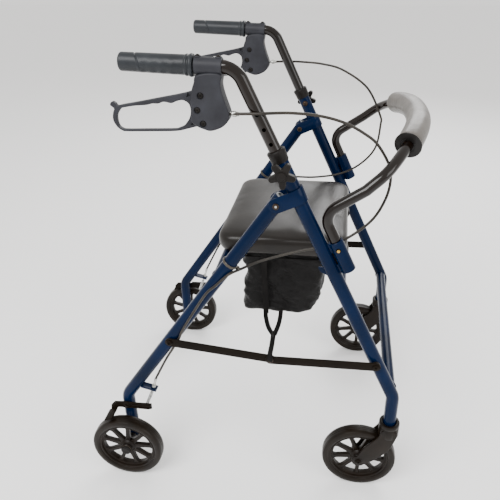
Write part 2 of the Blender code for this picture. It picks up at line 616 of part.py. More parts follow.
# ---- casters ----
def caster_stem(label, side):
    """Plug in the leg's foot and the pin the fork swivels on."""
    foot = FRONT_FOOT_Z
    profile = [(0.0, foot + 0.040), (0.0100, foot + 0.040), (FRAME_BORE - GAP, foot + 0.037),
               (FRAME_BORE - GAP, foot - GAP), (0.0120, foot - GAP), (0.0120, foot - 0.0045),
               (0.0050, foot - 0.0045), (0.0050, 0.1447), (0.0080, 0.1447), (0.0080, 0.1402),
               (0.0, 0.1402)]
    place = Matrix.Translation((STEM_X, side * HALF_TRACK, 0))
    turned(f"caster_stem_{label}", profile, place, STEEL, 12)


def caster_fork(label, side):
    """Cup round the leg's foot and two arms trailing to the axle."""
    y = side * HALF_TRACK
    place = Matrix.Translation((STEM_X, y, 0))
    cup = [(0.0053, 0.1450), (0.0195, 0.1450), (0.0205, 0.1480), (0.0205, 0.1770), (0.0195, 0.1800),
           (0.0150, 0.1800), (0.0133, 0.1785), (0.0133, 0.1668), (0.0053, 0.1668)]
    fork = turned(f"caster_fork_{label}", cup, place, WHEEL_PLASTIC, 24, loop=True)
    axle_x, axle_z = FRONT_AXLE_X, WHEEL_R
    for face, (y_in, y_out) in enumerate(((0.0147, 0.0192), (-0.0192, -0.0147))):
        arm = [(STEM_X + 0.0120, 0.1600), (STEM_X - 0.0120, 0.1600), (STEM_X - 0.0240, 0.1400),
               (STEM_X - 0.0520, 0.1060)]
        first = math.atan2(0.1060 - axle_z, STEM_X - 0.0520 - axle_x) + 0.35
        arm += [(axle_x + 0.0140 * math.cos(first + 3.7 * k / 7),
                 axle_z + 0.0140 * math.sin(first + 3.7 * k / 7)) for k in range(8)]
        arm += [(STEM_X - 0.0240, 0.0820), (STEM_X - 0.0040, 0.1080), (STEM_X + 0.0080, 0.1300)]
        weld(fork, plate(f"fork_arm_{label}_{face}", arm, y + y_in, y + y_out, WHEEL_PLASTIC))
    drill(fork, axle_x, axle_z, HALF_TRACK - 0.03, HALF_TRACK + 0.03, side, 0.0053)


def front_axle(label, side):
    profile = [(0.0, -0.0225), (0.0065, -0.0222), (0.0070, -0.0195), (AXLE_R, -0.0195),
               (AXLE_R, 0.0195), (0.0070, 0.0195), (0.0065, 0.0222), (0.0, 0.0225)]
    turned(f"front_axle_{label}", profile, across(FRONT_AXLE_X, WHEEL_R, HALF_TRACK, side), STEEL, 12)


# ---- side braces ----
def brace(name, start, end, y_in, y_out, bosses, side):
    """A flat link with round ends; bosses are (x, z, radius, y from, y to) welded to it."""
    link = plate(name, capsule(start, end, BRACE_W), *sorted((side * y_in, side * y_out)),
                 BLACK_STEEL)
    for count, (x, z, radius, low, high) in enumerate(bosses):
        weld(link, pin(f"{name}_boss_{count}", x, z, low, high, side, radius, BLACK_STEEL, 12))


def braces(label, side):
    inner = OUTER + 0.0015, OUTER + 0.0045
    outer = OUTER + 0.0048, OUTER + 0.0078
    a, b, m = BRACE_A, BRACE_B, BRACE_M
    brace(f"brace_rear_{label}", a, m, *inner,
          [(*a, 0.0080, OUTER + GAP, inner[0] + 0.001), (*a, 0.0060, inner[1] - 0.001,
                                                         inner[1] + 0.0025),
           (*m, 0.0070, OUTER + GAP, inner[0] + 0.001)], side)
    brace(f"brace_front_{label}", m, b, *outer,
          [(*b, 0.0080, OUTER + GAP, outer[0] + 0.001),
           (*b, 0.0060, outer[1] - 0.001, outer[1] + 0.0022),
           (*m, 0.0060, outer[1] - 0.001, outer[1] + 0.0022)], side)


# ---- seat, bag, straps and cables ----
def rounded_rectangle(x0, x1, y0, y1, radius, steps=4):
    out = []
    for cx, cy, first in ((x1 - radius, y1 - radius, 0), (x0 + radius, y1 - radius, 90),
                          (x0 + radius, y0 + radius, 180), (x1 - radius, y0 + radius, 270)):
        for step in range(steps + 1):
            angle = math.radians(first + 90 * step / steps)
            out.append((cx + radius * math.cos(angle), cy + radius * math.sin(angle)))
    return out


def slab(name, levels, finish_material):
    """Rounded rectangles stacked at heights: (z, inset)."""
    shape = bmesh.new()
    rings = []
    for z, inset in levels:
        outline = rounded_rectangle(SEAT_REAR_X + inset, SEAT_FRONT_X - inset,
                                    -SEAT_HALF_W + inset, SEAT_HALF_W - inset, 0.030 - inset / 2)
        rings.append([shape.verts.new((x, y, z)) for x, y in outline])
    for a, b in zip(rings, rings[1:]):
        bridge(shape, a, b)
    shape.faces.new(rings[0])
    shape.faces.new(rings[-1])
    return finish(name, shape, finish_material)


def seat():
    slab("seat_cushion", [(SEAT_LOW_Z, 0.004), (SEAT_LOW_Z + 0.004, 0.0), (SEAT_TOP_Z - 0.010, 0.0),
                          (SEAT_TOP_Z - 0.002, 0.006), (SEAT_TOP_Z, 0.016)], VINYL)
    low = SEAT_LOW_Z - 0.0055
    board = slab("seat_board", [(low, 0.012), (SEAT_LOW_Z - GAP, 0.012)], PLASTIC)
    for label, side in SIDES:
        ring = turned(f"hinge_loop_{label}", [(CROSS_R + GAP, -0.010), (0.0145, -0.010),
                                              (0.0145, 0.010), (CROSS_R + GAP, 0.010)],
                      across(SEAT_HINGE_X, SEAT_BAR_Z, 0.090, side), PLASTIC, 20, loop=True)
        weld(board, ring)
        x = rear_x(REAR_BAR_Z)
        y = side * 0.090
        rest = box(f"seat_rest_{label}", (x - 0.006, y - 0.012, REAR_BAR_Z + CROSS_R + GAP),
                   (x + 0.006, y + 0.012, low + 0.002), PLASTIC)
        weld(board, rest)


def bag():
    """The pouch under the seat; its notch lets the rear bar swing forward as the frame folds."""
    outline = [(-0.0100, 0.3610), (0.1300, 0.3610), (0.1420, 0.3740), (0.1480, 0.4400),
               (0.1440, 0.4800), (0.0950, 0.4800), (0.0950, 0.4440), (-0.0120, 0.4440),
               (-0.0160, 0.4200), (-0.0140, 0.3760)]
    plate("seat_bag", outline, -0.1350, 0.1350, NYLON)


def fold_strap(label, side):
    """Webbing from under the seat, over the bag's side, down to the brace's middle bolt."""
    path = [(0.0430, side * 0.1390, 0.5040), (0.0430, side * 0.1390, 0.4500),
            (0.0430, side * 0.1400, 0.4050), (0.0460, side * 0.1440, 0.3800),
            (0.0540, side * 0.1700, 0.3680), (0.0580, side * 0.2100, 0.3580),
            (BRACE_M[0], side * 0.2360, BRACE_M[1] + 0.0230),
            (BRACE_M[0], side * 0.2465, BRACE_M[1] + 0.0160),
            (BRACE_M[0], side * 0.2480, BRACE_M[1] + 0.0020)]
    strip(f"fold_strap_{label}", path, 0.010, 0.0012, NYLON)


CABLE_LOOPS = {
    "right": [(-0.0050, 0.2285, 0.7970), (0.0400, 0.2358, 0.8005), (0.0879, 0.2260, 0.8003),
              (0.1331, 0.2150, 0.7940), (0.1717, 0.2050, 0.7815), (0.2040, 0.1950, 0.7620),
              (0.2262, 0.1870, 0.7422), (0.2474, 0.1780, 0.7060), (0.2524, 0.1780, 0.6781),
              (0.2460, 0.1840, 0.6459), (0.2268, 0.1920, 0.6112), (0.1914, 0.1990, 0.5808),
              (0.1544, 0.2020, 0.5613), (0.1054, 0.2010, 0.5475)],
    "left": [(-0.0050, 0.2285, 0.7970), (0.0400, 0.2358, 0.7970), (0.0729, 0.2260, 0.7979),
             (0.1153, 0.2150, 0.7961), (0.1613, 0.2050, 0.7857), (0.2169, 0.1920, 0.7504),
             (0.2485, 0.1780, 0.6948), (0.2514, 0.1770, 0.6725), (0.2442, 0.1860, 0.6157),
             (0.2130, 0.1950, 0.5723), (0.1672, 0.2010, 0.5441), (0.1072, 0.2020, 0.5321)],
}
CABLE_LEG_RUN = [(0.0517, 0.2030, 0.5300), (0.0250, 0.2080, 0.5212), (-0.0009, 0.2200, 0.5130),
                 (-0.0195, 0.2362, 0.5095), (-0.0442, 0.2378, 0.4853), (-0.0641, 0.2378, 0.4644),
                 (-0.1000, 0.2382, 0.4048), (-0.1160, 0.2366, 0.3750), (-0.1240, 0.2335, 0.3560),
                 (-0.1362, 0.2320, 0.3340), (-0.1580, 0.2280, 0.2960), (-0.1868, 0.2230, 0.2388)]


def smooth_route(points, spacing):
    """Points spaced along a smooth curve through the route's own points."""
    points = [Vector(p) for p in points]
    ends = [points[0] * 2 - points[1]] + points + [points[-1] * 2 - points[-2]]
    dense = []
    for a, b, c, d in zip(ends, ends[1:], ends[2:], ends[3:]):
        for step in range(24):
            t = step / 24
            dense.append(0.5 * ((2 * b) + (c - a) * t + (2 * a - 5 * b + 4 * c - d) * t * t
                                + (3 * b - a - 3 * c + d) * t ** 3))
    dense.append(points[-1])
    total = sum((b - a).length for a, b in zip(dense, dense[1:]))
    count = round(total / spacing)
    out, travelled, target = [dense[0]], 0.0, total / count
    for a, b in zip(dense, dense[1:]):
        step = (b - a).length
        while travelled + step >= target - 1e-9 and len(out) < count:
            out.append(a.lerp(b, (target - travelled) / step))
            target += total / count
        travelled += step
    out.append(dense[-1])
    return out


def brake_cable(label, side):
    """Sheathed cable from the housing, looped forward past the backrest, down the rear leg."""
    route = [(x, side * y, z) for x, y, z in CABLE_LOOPS[label] + CABLE_LEG_RUN]
    line = bpy.data.curves.new(f"brake_cable_{label}", "CURVE")
    line.dimensions = "3D"
    line.bevel_depth = CABLE_R
    line.bevel_resolution = 2
    line.use_fill_caps = True
    spline = line.splines.new("POLY")
    points = smooth_route(route, 0.0165)
    spline.points.add(len(points) - 1)
    for place, point in zip(spline.points, points):
        place.co = (*point, 1.0)
    line.materials.append(CABLE)
    made = bpy.data.objects.new(f"brake_cable_{label}", line)
    bpy.context.scene.collection.objects.link(made)


def build():
    crossbar("seat_crossbar_rear", rear_x(REAR_BAR_Z), REAR_BAR_Z, REAR_UP)
    crossbar("front_crossbar", front_x(FRONT_BAR_Z), FRONT_BAR_Z, LEG_UP)
    seat_front_bar()
    backrest()
    seat()
    bag()
    for label, side in SIDES:
        for piece in (front_leg, pivot_bracket, pivot_bolt, collar, height_knob, backrest_sleeve,
                      spring_button, handle_tube, grip, brake_housing, brake_lever, rear_leg,
                      cable_clip, brake_arm, rear_axle, caster_stem, caster_fork, front_axle,
                      braces, fold_strap, brake_cable):
            piece(label, side)
        rim(f"rear_rim_{label}", REAR_X, side * REAR_WHEEL_Y, 5)
        tyre(f"rear_tyre_{label}", REAR_X, side * REAR_WHEEL_Y)
        rim(f"front_rim_{label}", FRONT_AXLE_X, side * HALF_TRACK, 30)
        tyre(f"front_tyre_{label}", FRONT_AXLE_X, side * HALF_TRACK)


build()
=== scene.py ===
"""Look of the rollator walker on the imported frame: surfaces, shapes, soft goods, light, camera.

Metres, +X the way it rolls, +Y its left, +Z up. A name ending in right is at -Y, in left at +Y.
"""
import json
import math

import bmesh
import bpy
from mathutils import Matrix, Vector, noise

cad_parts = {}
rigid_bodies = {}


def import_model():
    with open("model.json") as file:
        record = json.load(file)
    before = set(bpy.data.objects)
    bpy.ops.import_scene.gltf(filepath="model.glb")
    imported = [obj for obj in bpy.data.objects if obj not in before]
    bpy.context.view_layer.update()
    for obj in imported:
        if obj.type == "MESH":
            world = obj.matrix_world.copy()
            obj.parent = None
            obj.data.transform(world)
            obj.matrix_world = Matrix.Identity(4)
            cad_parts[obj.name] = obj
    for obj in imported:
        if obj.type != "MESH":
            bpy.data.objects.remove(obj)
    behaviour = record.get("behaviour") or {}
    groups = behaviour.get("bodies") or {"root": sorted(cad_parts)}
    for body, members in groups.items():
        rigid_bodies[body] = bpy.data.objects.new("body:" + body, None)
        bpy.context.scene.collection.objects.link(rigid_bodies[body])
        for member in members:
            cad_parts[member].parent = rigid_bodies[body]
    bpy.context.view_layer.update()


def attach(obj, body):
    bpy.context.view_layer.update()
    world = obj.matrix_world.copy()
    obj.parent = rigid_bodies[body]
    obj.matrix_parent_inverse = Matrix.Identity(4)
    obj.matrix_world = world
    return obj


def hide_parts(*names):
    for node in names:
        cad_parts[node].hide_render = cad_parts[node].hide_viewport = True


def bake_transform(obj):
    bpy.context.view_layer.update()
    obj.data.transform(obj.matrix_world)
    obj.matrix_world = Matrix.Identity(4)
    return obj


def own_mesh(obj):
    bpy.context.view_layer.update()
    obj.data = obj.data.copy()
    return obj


for item in list(bpy.data.objects):
    bpy.data.objects.remove(item, do_unlink=True)
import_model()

SIDES = (("right", -1), ("left", 1))
GAP = 0.0003
HALF_TRACK, FRAME_R, HANDLE_R, BACK_R, CROSS_R = 0.222, 0.0127, 0.0105, 0.0095, 0.011
OUTER = HALF_TRACK + FRAME_R
WHEEL_R, TYRE_W, HUB_W = 0.0762, 0.0265, 0.0284
REAR_WHEEL_Y = HALF_TRACK + 0.0372
FRONT_LEAN, REAR_LEAN = math.radians(25.0), math.radians(34.9)
STEM_X, FRONT_BEND_Z, FRONT_FOOT_Z, FRONT_TOP_Z = 0.2945, 0.246, 0.172, 0.736
FRONT_AXLE_X = 0.2388
FOLD_X, FOLD_Z = 0.067, 0.6485
REAR_X, REAR_FOOT_Z = -0.254, 0.06
HANDLE_Z, GRIP_RISE = 0.8655, 0.036
LEVER_X, LEVER_Z, LEVER_HALF_T = -0.0487, 0.825, 0.0045
SCREWS = ((LEVER_X, LEVER_Z), (-0.055, 0.8027), (-0.0469, 0.7818))
BRAKE_X, BRAKE_Z = -0.253, 0.173
SEAT_BAR_Z, REAR_BAR_Z = 0.4945, 0.492
SLEEVE_OFFSET, SLEEVE_LOW_Z, SLEEVE_TOP_Z, BUTTON_Z = 0.0268, 0.5279, 0.5833, 0.57
KNOB_Z, FRONT_BAR_Z, CABLE_R = 0.7087, 0.262, 0.0024
LEG_BORE, AXLE_BORE, CLIP_Z = 0.0109, 0.0053, 0.527
HOLE_PITCH, FIRST_HOLE = 0.0254, 0.0215
BRACE_REAR_Z, BRACE_FRONT_Z, BRACE_SAG = 0.3481, 0.332, 0.012
PAD_RIGHT_Y, PAD_LEFT_Y = -0.15, 0.158
SWELL_FRAMES = 20


def front_x(z):
    return STEM_X - math.tan(FRONT_LEAN) * (z - FRONT_BEND_Z)


def rear_x(z):
    return FOLD_X - math.tan(REAR_LEAN) * (FOLD_Z - z)


def sleeve_x(z):
    return front_x(z) + SLEEVE_OFFSET / math.cos(FRONT_LEAN)


LEG_UP = Vector((-math.sin(FRONT_LEAN), 0, math.cos(FRONT_LEAN)))
LEG_FORWARD = Vector((math.cos(FRONT_LEAN), 0, math.sin(FRONT_LEAN)))
REAR_UP = Vector((math.sin(REAR_LEAN), 0, math.cos(REAR_LEAN)))
REAR_FORWARD = Vector((math.cos(REAR_LEAN), 0, -math.sin(REAR_LEAN)))
REAR_BEND_Z = FOLD_Z - (FOLD_X - REAR_X) / math.tan(REAR_LEAN)
HANDLE_BEND_X = front_x(HANDLE_Z)
SEAT_HINGE_X = front_x(SEAT_BAR_Z)
GRIP_WAY = Vector((-1, 0, GRIP_RISE)).normalized()
BRACE_A = (rear_x(BRACE_REAR_Z), BRACE_REAR_Z)
BRACE_B = (front_x(BRACE_FRONT_Z), BRACE_FRONT_Z)
BRACE_M = ((BRACE_A[0] + BRACE_B[0]) / 2, (BRACE_A[1] + BRACE_B[1]) / 2 - BRACE_SAG)


# ---- materials ----
class Nodes:
    """A material's node tree with short calls to add and join nodes."""

    def __init__(self, name):
        self.material = bpy.data.materials.new(name)
        self.material.use_nodes = True
        self.tree = self.material.node_tree
        self.shader = self.tree.nodes["Principled BSDF"]
        self.place = self.add("ShaderNodeTexCoord").outputs["Object"]

    def add(self, kind, inputs=(), **settings):
        node = self.tree.nodes.new(kind)
        for key, value in settings.items():
            setattr(node, key, value)
        for key, value in dict(inputs).items():
            self.feed(node.inputs[key], value)
        return node

    def feed(self, socket, value):
        if isinstance(value, bpy.types.NodeSocket):
            self.tree.links.new(value, socket)
        else:
            socket.default_value = value

    def noise(self, scale, detail=4.0, rough=0.5, stretch=(1, 1, 1)):
        place = self.add("ShaderNodeMapping", {"Vector": self.place, "Scale": stretch})
        return self.add("ShaderNodeTexNoise", {"Vector": place.outputs[0], "Scale": scale,
            "Detail": detail, "Roughness": rough}).outputs[0]

    def cells(self, scale, feature="F1"):
        return self.add("ShaderNodeTexVoronoi", {"Vector": self.place, "Scale": scale},
            feature=feature).outputs["Distance"]

    def math(self, operation, a, b=0.0):
        return self.add("ShaderNodeMath", {0: a, 1: b}, operation=operation).outputs[0]

    def ramp(self, value, stops):
        node = self.add("ShaderNodeValToRGB", {"Fac": value})
        items = node.color_ramp.elements
        while len(items) < len(stops):
            items.new(0.5)
        for item, (where, colour) in zip(items, stops):
            item.position, item.color = where, (*colour, 1.0)
        return node.outputs["Color"]

    def between(self, value, low, high):
        return self.add("ShaderNodeMapRange", {"Value": value, "To Min": low,
            "To Max": high}).outputs[0]

    def bump(self, height, distance, strength=1.0, under=None):
        inputs = {"Height": height, "Distance": distance, "Strength": strength}
        if under is not None:
            inputs["Normal"] = under
        return self.add("ShaderNodeBump", inputs).outputs[0]

    def shade(self, **values):
        for key, value in values.items():
            self.feed(self.shader.inputs[key.replace("_", " ")], value)
        return self.material


def hue(*rgb):
    """Linear colour from display values out of 255."""
    return tuple(((c / 255 + 0.055) / 1.055) ** 2.4 if c > 10 else c / 255 / 12.92 for c in rgb)


def paint(name, dark, light, rough, coat, specular, metallic=0.0):
    """Enamel or powder coat: faint drift of colour, orange peel, dust and wear in the gloss."""
    n = Nodes(name)
    drift = n.noise(9, 3)
    fine = n.noise(420, 2)
    colour = n.ramp(drift, [(0.3, dark), (0.72, light)])
    gloss = n.math("ADD", n.between(n.noise(55, 6, 0.65), rough * 0.75, rough * 1.3),
        n.math("MULTIPLY", fine, 0.03))
    return n.shade(Base_Color=colour, Roughness=gloss, Metallic=metallic, Coat_Weight=coat,
        Coat_Roughness=0.12, Specular_IOR_Level=specular, Normal=n.bump(fine, 0.00006, 0.5))


def moulded(name, dark, light, rough, grain=0.00012, scale=900, coat=0.0, specular=0.22):
    """Moulded plastic or rubber with a spark-eroded grain and scuffs."""
    n = Nodes(name)
    scuff = n.noise(30, 8, 0.6)
    grit = n.cells(scale)
    colour = n.ramp(scuff, [(0.28, dark), (0.75, light)])
    gloss = n.between(n.math("ADD", scuff, n.math("MULTIPLY", grit, 0.4)), rough * 0.8,
        rough * 1.25)
    return n.shade(Base_Color=colour, Roughness=gloss, Coat_Weight=coat,
        Specular_IOR_Level=specular, Normal=n.bump(grit, grain, 0.5))


def metal(name, dark, light, rough):
    """Plated or bare metal with brush lines."""
    n = Nodes(name)
    lines = n.noise(260, 4, 0.6, (1, 1, 12))
    colour = n.ramp(n.noise(60, 4), [(0.3, dark), (0.7, light)])
    return n.shade(Base_Color=colour, Metallic=1.0, Roughness=n.between(lines, rough * 0.6,
        rough * 1.6), Normal=n.bump(lines, 0.00003, 0.4))


def woven(name, dark, light, pitch, rough, sheen, crease, specular):
    """Cloth: crossing threads in every plane, slubs, and soft creases where crease is given."""
    n = Nodes(name)
    axes = n.add("ShaderNodeSeparateXYZ", {"Vector": n.place}).outputs
    waves = [n.math("SINE", n.math("MULTIPLY", axes[k], 2 * math.pi / pitch)) for k in range(3)]
    threads = n.math("ADD", n.math("MULTIPLY", waves[0], waves[2]),
        n.math("ADD", n.math("MULTIPLY", waves[1], waves[2]), n.math("MULTIPLY", waves[0],
        waves[1])))
    slub = n.noise(90, 5, 0.6)
    mixed = n.math("ADD", n.math("MULTIPLY", threads, 0.12), slub)
    normal = n.bump(threads, pitch * 0.16, 0.55)
    if crease:
        normal = n.bump(n.noise(14, 6, 0.62, (1, 1, 0.55)), crease, 0.8, normal)
    return n.shade(Base_Color=n.ramp(mixed, [(0.32, dark), (0.72, light)]),
        Roughness=n.between(mixed, rough * 0.85, rough * 1.1), Sheen_Weight=sheen,
        Specular_IOR_Level=specular, Normal=normal)


def vinyl(name):
    """Seat vinyl: pebbled leather grain with long soft stretch creases."""
    n = Nodes(name)
    pebble = n.cells(620, "SMOOTH_F1")
    crease = n.noise(26, 6, 0.6, (1, 2.2, 1))
    colour = n.ramp(n.noise(16, 4), [(0.3, hue(12, 9, 7)), (0.75, hue(28, 23, 19))])
    normal = n.bump(crease, 0.0004, 0.3, n.bump(pebble, 0.00015, 0.4))
    return n.shade(Base_Color=colour, Roughness=n.between(pebble, 0.26, 0.44), Coat_Weight=0.05,
        Coat_Roughness=0.22, Specular_IOR_Level=0.21, Normal=normal)


def foam(name):
    """Skinned foam: fine pores under a satin skin."""
    n = Nodes(name)
    pores = n.cells(1100)
    colour = n.ramp(n.math("ADD", n.math("MULTIPLY", n.noise(30, 5), 0.8),
        n.math("MULTIPLY", pores, 0.3)), [(0.3, hue(70, 66, 62)), (0.7, hue(98, 94, 89))])
    return n.shade(Base_Color=colour, Roughness=n.between(n.noise(140, 3), 0.3, 0.46),
        Coat_Weight=0.06, Coat_Roughness=0.25, Specular_IOR_Level=0.3,
        Normal=n.bump(n.noise(22, 5), 0.0012, 0.25, n.bump(pores, 0.00012, 0.4)))


BLUE = paint("blue_coat", hue(0, 13, 35), hue(0, 22, 54), 0.22, 0.04, 0.07)
BLACK_GLOSS = paint("black_enamel", hue(7, 4, 2), hue(20, 12, 7), 0.09, 0.12, 0.26)
BLACK_STEEL = paint("black_steel_coat", hue(10, 6, 3), hue(22, 16, 10), 0.34, 0.0, 0.06)
BROWN_STEEL = paint("browned_steel", hue(30, 20, 12), hue(58, 42, 28), 0.3, 0.1, 0.3, metallic=0.5)
CHARCOAL = moulded("charcoal_moulding", hue(34, 34, 38), hue(46, 47, 52), 0.42, specular=0.16)
DARK_PLASTIC = moulded("dark_moulding", hue(11, 9, 8), hue(27, 24, 22), 0.42, specular=0.14)
PALE_PLASTIC = moulded("pale_plug", hue(96, 98, 100), hue(140, 142, 144), 0.45)
GRIP_RUBBER = moulded("grip_rubber_skin", hue(27, 29, 32), hue(40, 43, 47), 0.33, 0.00012, 700)
WHEEL_PLASTIC = moulded("wheel_moulding", hue(11, 7, 4), hue(26, 18, 11), 0.32, 0.00008, 700, 0.02,
    0.14)
HUB_RING = moulded("hub_ring_plastic", hue(60, 52, 44), hue(96, 86, 74), 0.36, 0.00006, 800, 0.2)
TYRE = moulded("tyre_skin", hue(12, 8, 5), hue(26, 19, 12), 0.29, 0.00012, 520, 0.0, 0.15)
ZINC = metal("zinc_plate", hue(150, 150, 146), hue(205, 205, 200), 0.3)
BARE = metal("bare_aluminium", hue(150, 150, 150), hue(215, 215, 212), 0.28)
BRASS = metal("brass_plate", hue(140, 104, 40), hue(212, 172, 92), 0.26)
VINYL = vinyl("seat_vinyl_skin")
FOAM = foam("foam_skin")
NYLON = woven("nylon_cloth", hue(2, 1, 1), hue(9, 7, 7), 0.0011, 0.4, 0.0, 0.0042, 0.16)
WEBBING = woven("webbing", hue(6, 5, 5), hue(22, 20, 19), 0.0016, 0.7, 0.02, 0.0, 0.1)
SHEATH = moulded("cable_skin", hue(24, 21, 18), hue(52, 47, 41), 0.36, 0.00003, 1200, 0.05)
CLIP = moulded("clip_plastic", hue(40, 36, 31), hue(70, 65, 57), 0.32, 0.00003, 1200, 0.1)
PAD_END = moulded("pad_end_plastic", hue(8, 7, 6), hue(20, 18, 17), 0.3, 0.00005, 900, 0.03)


# ---- shape helpers ----
def mm(table):
    """Points from a table in millimetres: a comma between points, a space between numbers."""
    return [tuple(round(float(n) / 1000, 7) for n in point.split()) for point in table.split(",")]


def moved(points, u, v=0.0):
    """Points of a plane moved by u and v."""
    return [(u + a, v + b) for a, b in points]


def handed(table, side):
    """Points in space from a table for the left side, put on the side asked for."""
    return [Vector((x, side * y, z)) for x, y, z in mm(table)]


def link(name, data):
    made = bpy.data.objects.new(name, data)
    bpy.context.scene.collection.objects.link(made)
    return made


def keep(name, shape, surface, sharp=32):
    """A bmesh as an object with outward faces, smooth but for corners sharper than the angle."""
    bmesh.ops.remove_doubles(shape, verts=shape.verts, dist=1e-6)
    bmesh.ops.recalc_face_normals(shape, faces=shape.faces)
    mesh = bpy.data.meshes.new(name)
    shape.to_mesh(mesh)
    shape.free()
    mesh.materials.append(surface)
    return soften(link(name, mesh), sharp)


def soften(made, sharp=32):
    """Smooth shading but for corners sharper than the angle."""
    made.data.shade_smooth()
    made.data.set_sharp_from_angle(angle=math.radians(sharp))
    return made


def solid(made):
    """The object's mesh with its modifiers applied."""
    graph = bpy.context.evaluated_depsgraph_get()
    return bpy.data.meshes.new_from_object(made.evaluated_get(graph), depsgraph=graph)


def bake(made):
    mesh = solid(made)
    made.modifiers.clear()
    made.data = mesh
    return made


def mesh_step(made, kind, **settings):
    step = made.modifiers.new("step", kind)
    for key, value in settings.items():
        setattr(step, key, value)
    return bake(made)


def combine(made, tool, operation):
    mesh_step(made, "BOOLEAN", operation=operation, solver="EXACT", object=tool)
    bpy.data.objects.remove(tool, do_unlink=True)
    return soften(made)


def cut(made, tool):
    return combine(made, tool, "DIFFERENCE")


def weld(made, tool):
    return combine(made, tool, "UNION")


def put(made, body, slot, *nodes):
    """The piece rides on the body and stands for the CAD nodes; the slot is not used."""
    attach(made, body)
    if nodes:
        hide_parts(*nodes)
    return made


def fillet(corners, radius, steps=12):
    """The corners joined by straight runs, with an arc of the radius at each inner corner."""
    corners = [Vector(c) for c in corners]
    out = [corners[0]]
    for before, corner, after in zip(corners, corners[1:], corners[2:]):
        back, on = (before - corner).normalized(), (after - corner).normalized()
        half = back.angle(on) / 2
        reach = radius / math.tan(half)
        centre = corner + (back + on).normalized() * (radius / math.sin(half))
        first, last = corner + back * reach - centre, corner + on * reach - centre
        axis = first.cross(last).normalized()
        for step in range(steps + 1):
            out.append(centre + Matrix.Rotation(first.angle(last) * step / steps, 3, axis) @ first)
    return out + [corners[-1]]


def spline(points, spacing=None, closed=False, per=8):
    """A smooth curve through the points (2-D or 3-D), evenly spaced where spacing is given."""
    points = [Vector(p) for p in points]
    if closed:
        ends = [points[-1]] + points + points[:2]
    else:
        ends = [points[0] * 2 - points[1]] + points + [points[-1] * 2 - points[-2]]
    dense = []
    for a, b, c, d in zip(ends, ends[1:], ends[2:], ends[3:]):
        for step in range(per):
            t = step / per
            dense.append(0.5 * ((2 * b) + (c - a) * t + (2 * a - 5 * b + 4 * c - d) * t * t
                + (3 * b - a - 3 * c + d) * t ** 3))
    if closed:
        return dense
    dense.append(points[-1])
    if spacing is None:
        return dense
    total = sum((b - a).length for a, b in zip(dense, dense[1:]))
    count = round(total / spacing)
    out, travelled = [dense[0]], 0.0
    for a, b in zip(dense, dense[1:]):
        step = (b - a).length
        while len(out) < count and travelled + step >= total * len(out) / count:
            out.append(a.lerp(b, (total * len(out) / count - travelled) / step))
        travelled += step
    return out + [dense[-1]]


def rings_along(shape, path, sections, up=None):
    """A ring of vertices at each point; sections is one outline or one for each point."""
    path = [Vector(p) for p in path]
    steps = [b - a for a, b in zip(path, path[1:])]
    ways = [steps[0]] + [a.normalized() + b.normalized() for a, b in zip(steps, steps[1:])]
    ways.append(steps[-1])
    up = Vector(up or ((0, 1, 0) if abs(steps[0].normalized().y) < 0.8 else (0, 0, 1)))
    rings = []
    for k, (point, way) in enumerate(zip(path, ways)):
        way = way.normalized()
        up = (up - way * up.dot(way)).normalized()
        across_way = way.cross(up)
        section = sections[k] if isinstance(sections[0][0], (tuple, list)) else sections
        rings.append([shape.verts.new(point + up * u + across_way * v) for u, v in section])
    return rings


def bridge(shape, a, b):
    for k in range(len(a)):
        shape.faces.new((a[k], a[(k + 1) % len(a)], b[(k + 1) % len(b)], b[k]))


def skin(shape, rings, caps=(0, -1)):
    """Faces from each ring to the next, and over the rings named as caps."""
    for a, b in zip(rings, rings[1:]):
        bridge(shape, a, b)
    for cap in caps:
        shape.faces.new(rings[cap])


def circle(radius, sides):
    return [(radius * math.cos(2 * math.pi * k / sides), radius * math.sin(2 * math.pi * k / sides))
        for k in range(sides)]


def tube(name, path, radius, surface, bore=0.0, sides=40):
    """A round bar or pipe; radius may be a list, one for each point."""
    shape = bmesh.new()
    sized = isinstance(radius, (list, tuple))
    section = [circle(r, sides) for r in radius] if sized else circle(radius, sides)
    outer = rings_along(shape, path, section)
    skin(shape, outer, () if bore else (0, -1))
    if bore:
        inner = rings_along(shape, path, circle(bore, sides))
        skin(shape, inner, ())
        bridge(shape, inner[0], outer[0])
        bridge(shape, outer[-1], inner[-1])
    return keep(name, shape, surface)


def strap(name, path, width, thickness, surface, up):
    """Webbing: a flat band with raised selvedges."""
    half_w, half_t, rows = width / 2, thickness / 2, 8
    top = [(half_t * (1.25 if abs(k - rows / 2) > rows / 2 - 1.2 else 1.0),
        half_w * (2 * k / rows - 1)) for k in range(rows + 1)]
    section = top + [(-u, v) for u, v in top[::-1]]
    shape = bmesh.new()
    skin(shape, rings_along(shape, path, section, up))
    return keep(name, shape, surface, 60)


def turned(name, profile, place, surface, sides=48, loop=False):
    """A turned piece: (radius, height) points about the placed Z axis; a loop leaves a bore."""
    shape = bmesh.new()
    rings = []
    for radius, height in profile:
        rings.append([shape.verts.new(place @ Vector((x, y, height)))
            for x, y in circle(radius, 1 if radius < 1e-6 else sides)])
    pairs = list(zip(rings, rings[1:]))
    if loop:
        pairs.append((rings[-1], rings[0]))
    for a, b in pairs:
        if len(a) == len(b) == 1:
            continue
        if len(a) == 1 or len(b) == 1:
            tip, ring = (a[0], b) if len(a) == 1 else (b[0], a)
            for k in range(sides):
                shape.faces.new((tip, ring[(k + 1) % sides], ring[k]))
        else:
            bridge(shape, a, b)
    if not loop:
        for ring in (rings[0], rings[-1]):
            if len(ring) > 1:
                shape.faces.new(ring)
    return keep(name, shape, surface)


def hoop(name, profile, place, surface, sides=48):
    """A turned piece with an open bore."""
    return turned(name, profile, place, surface, sides, True)


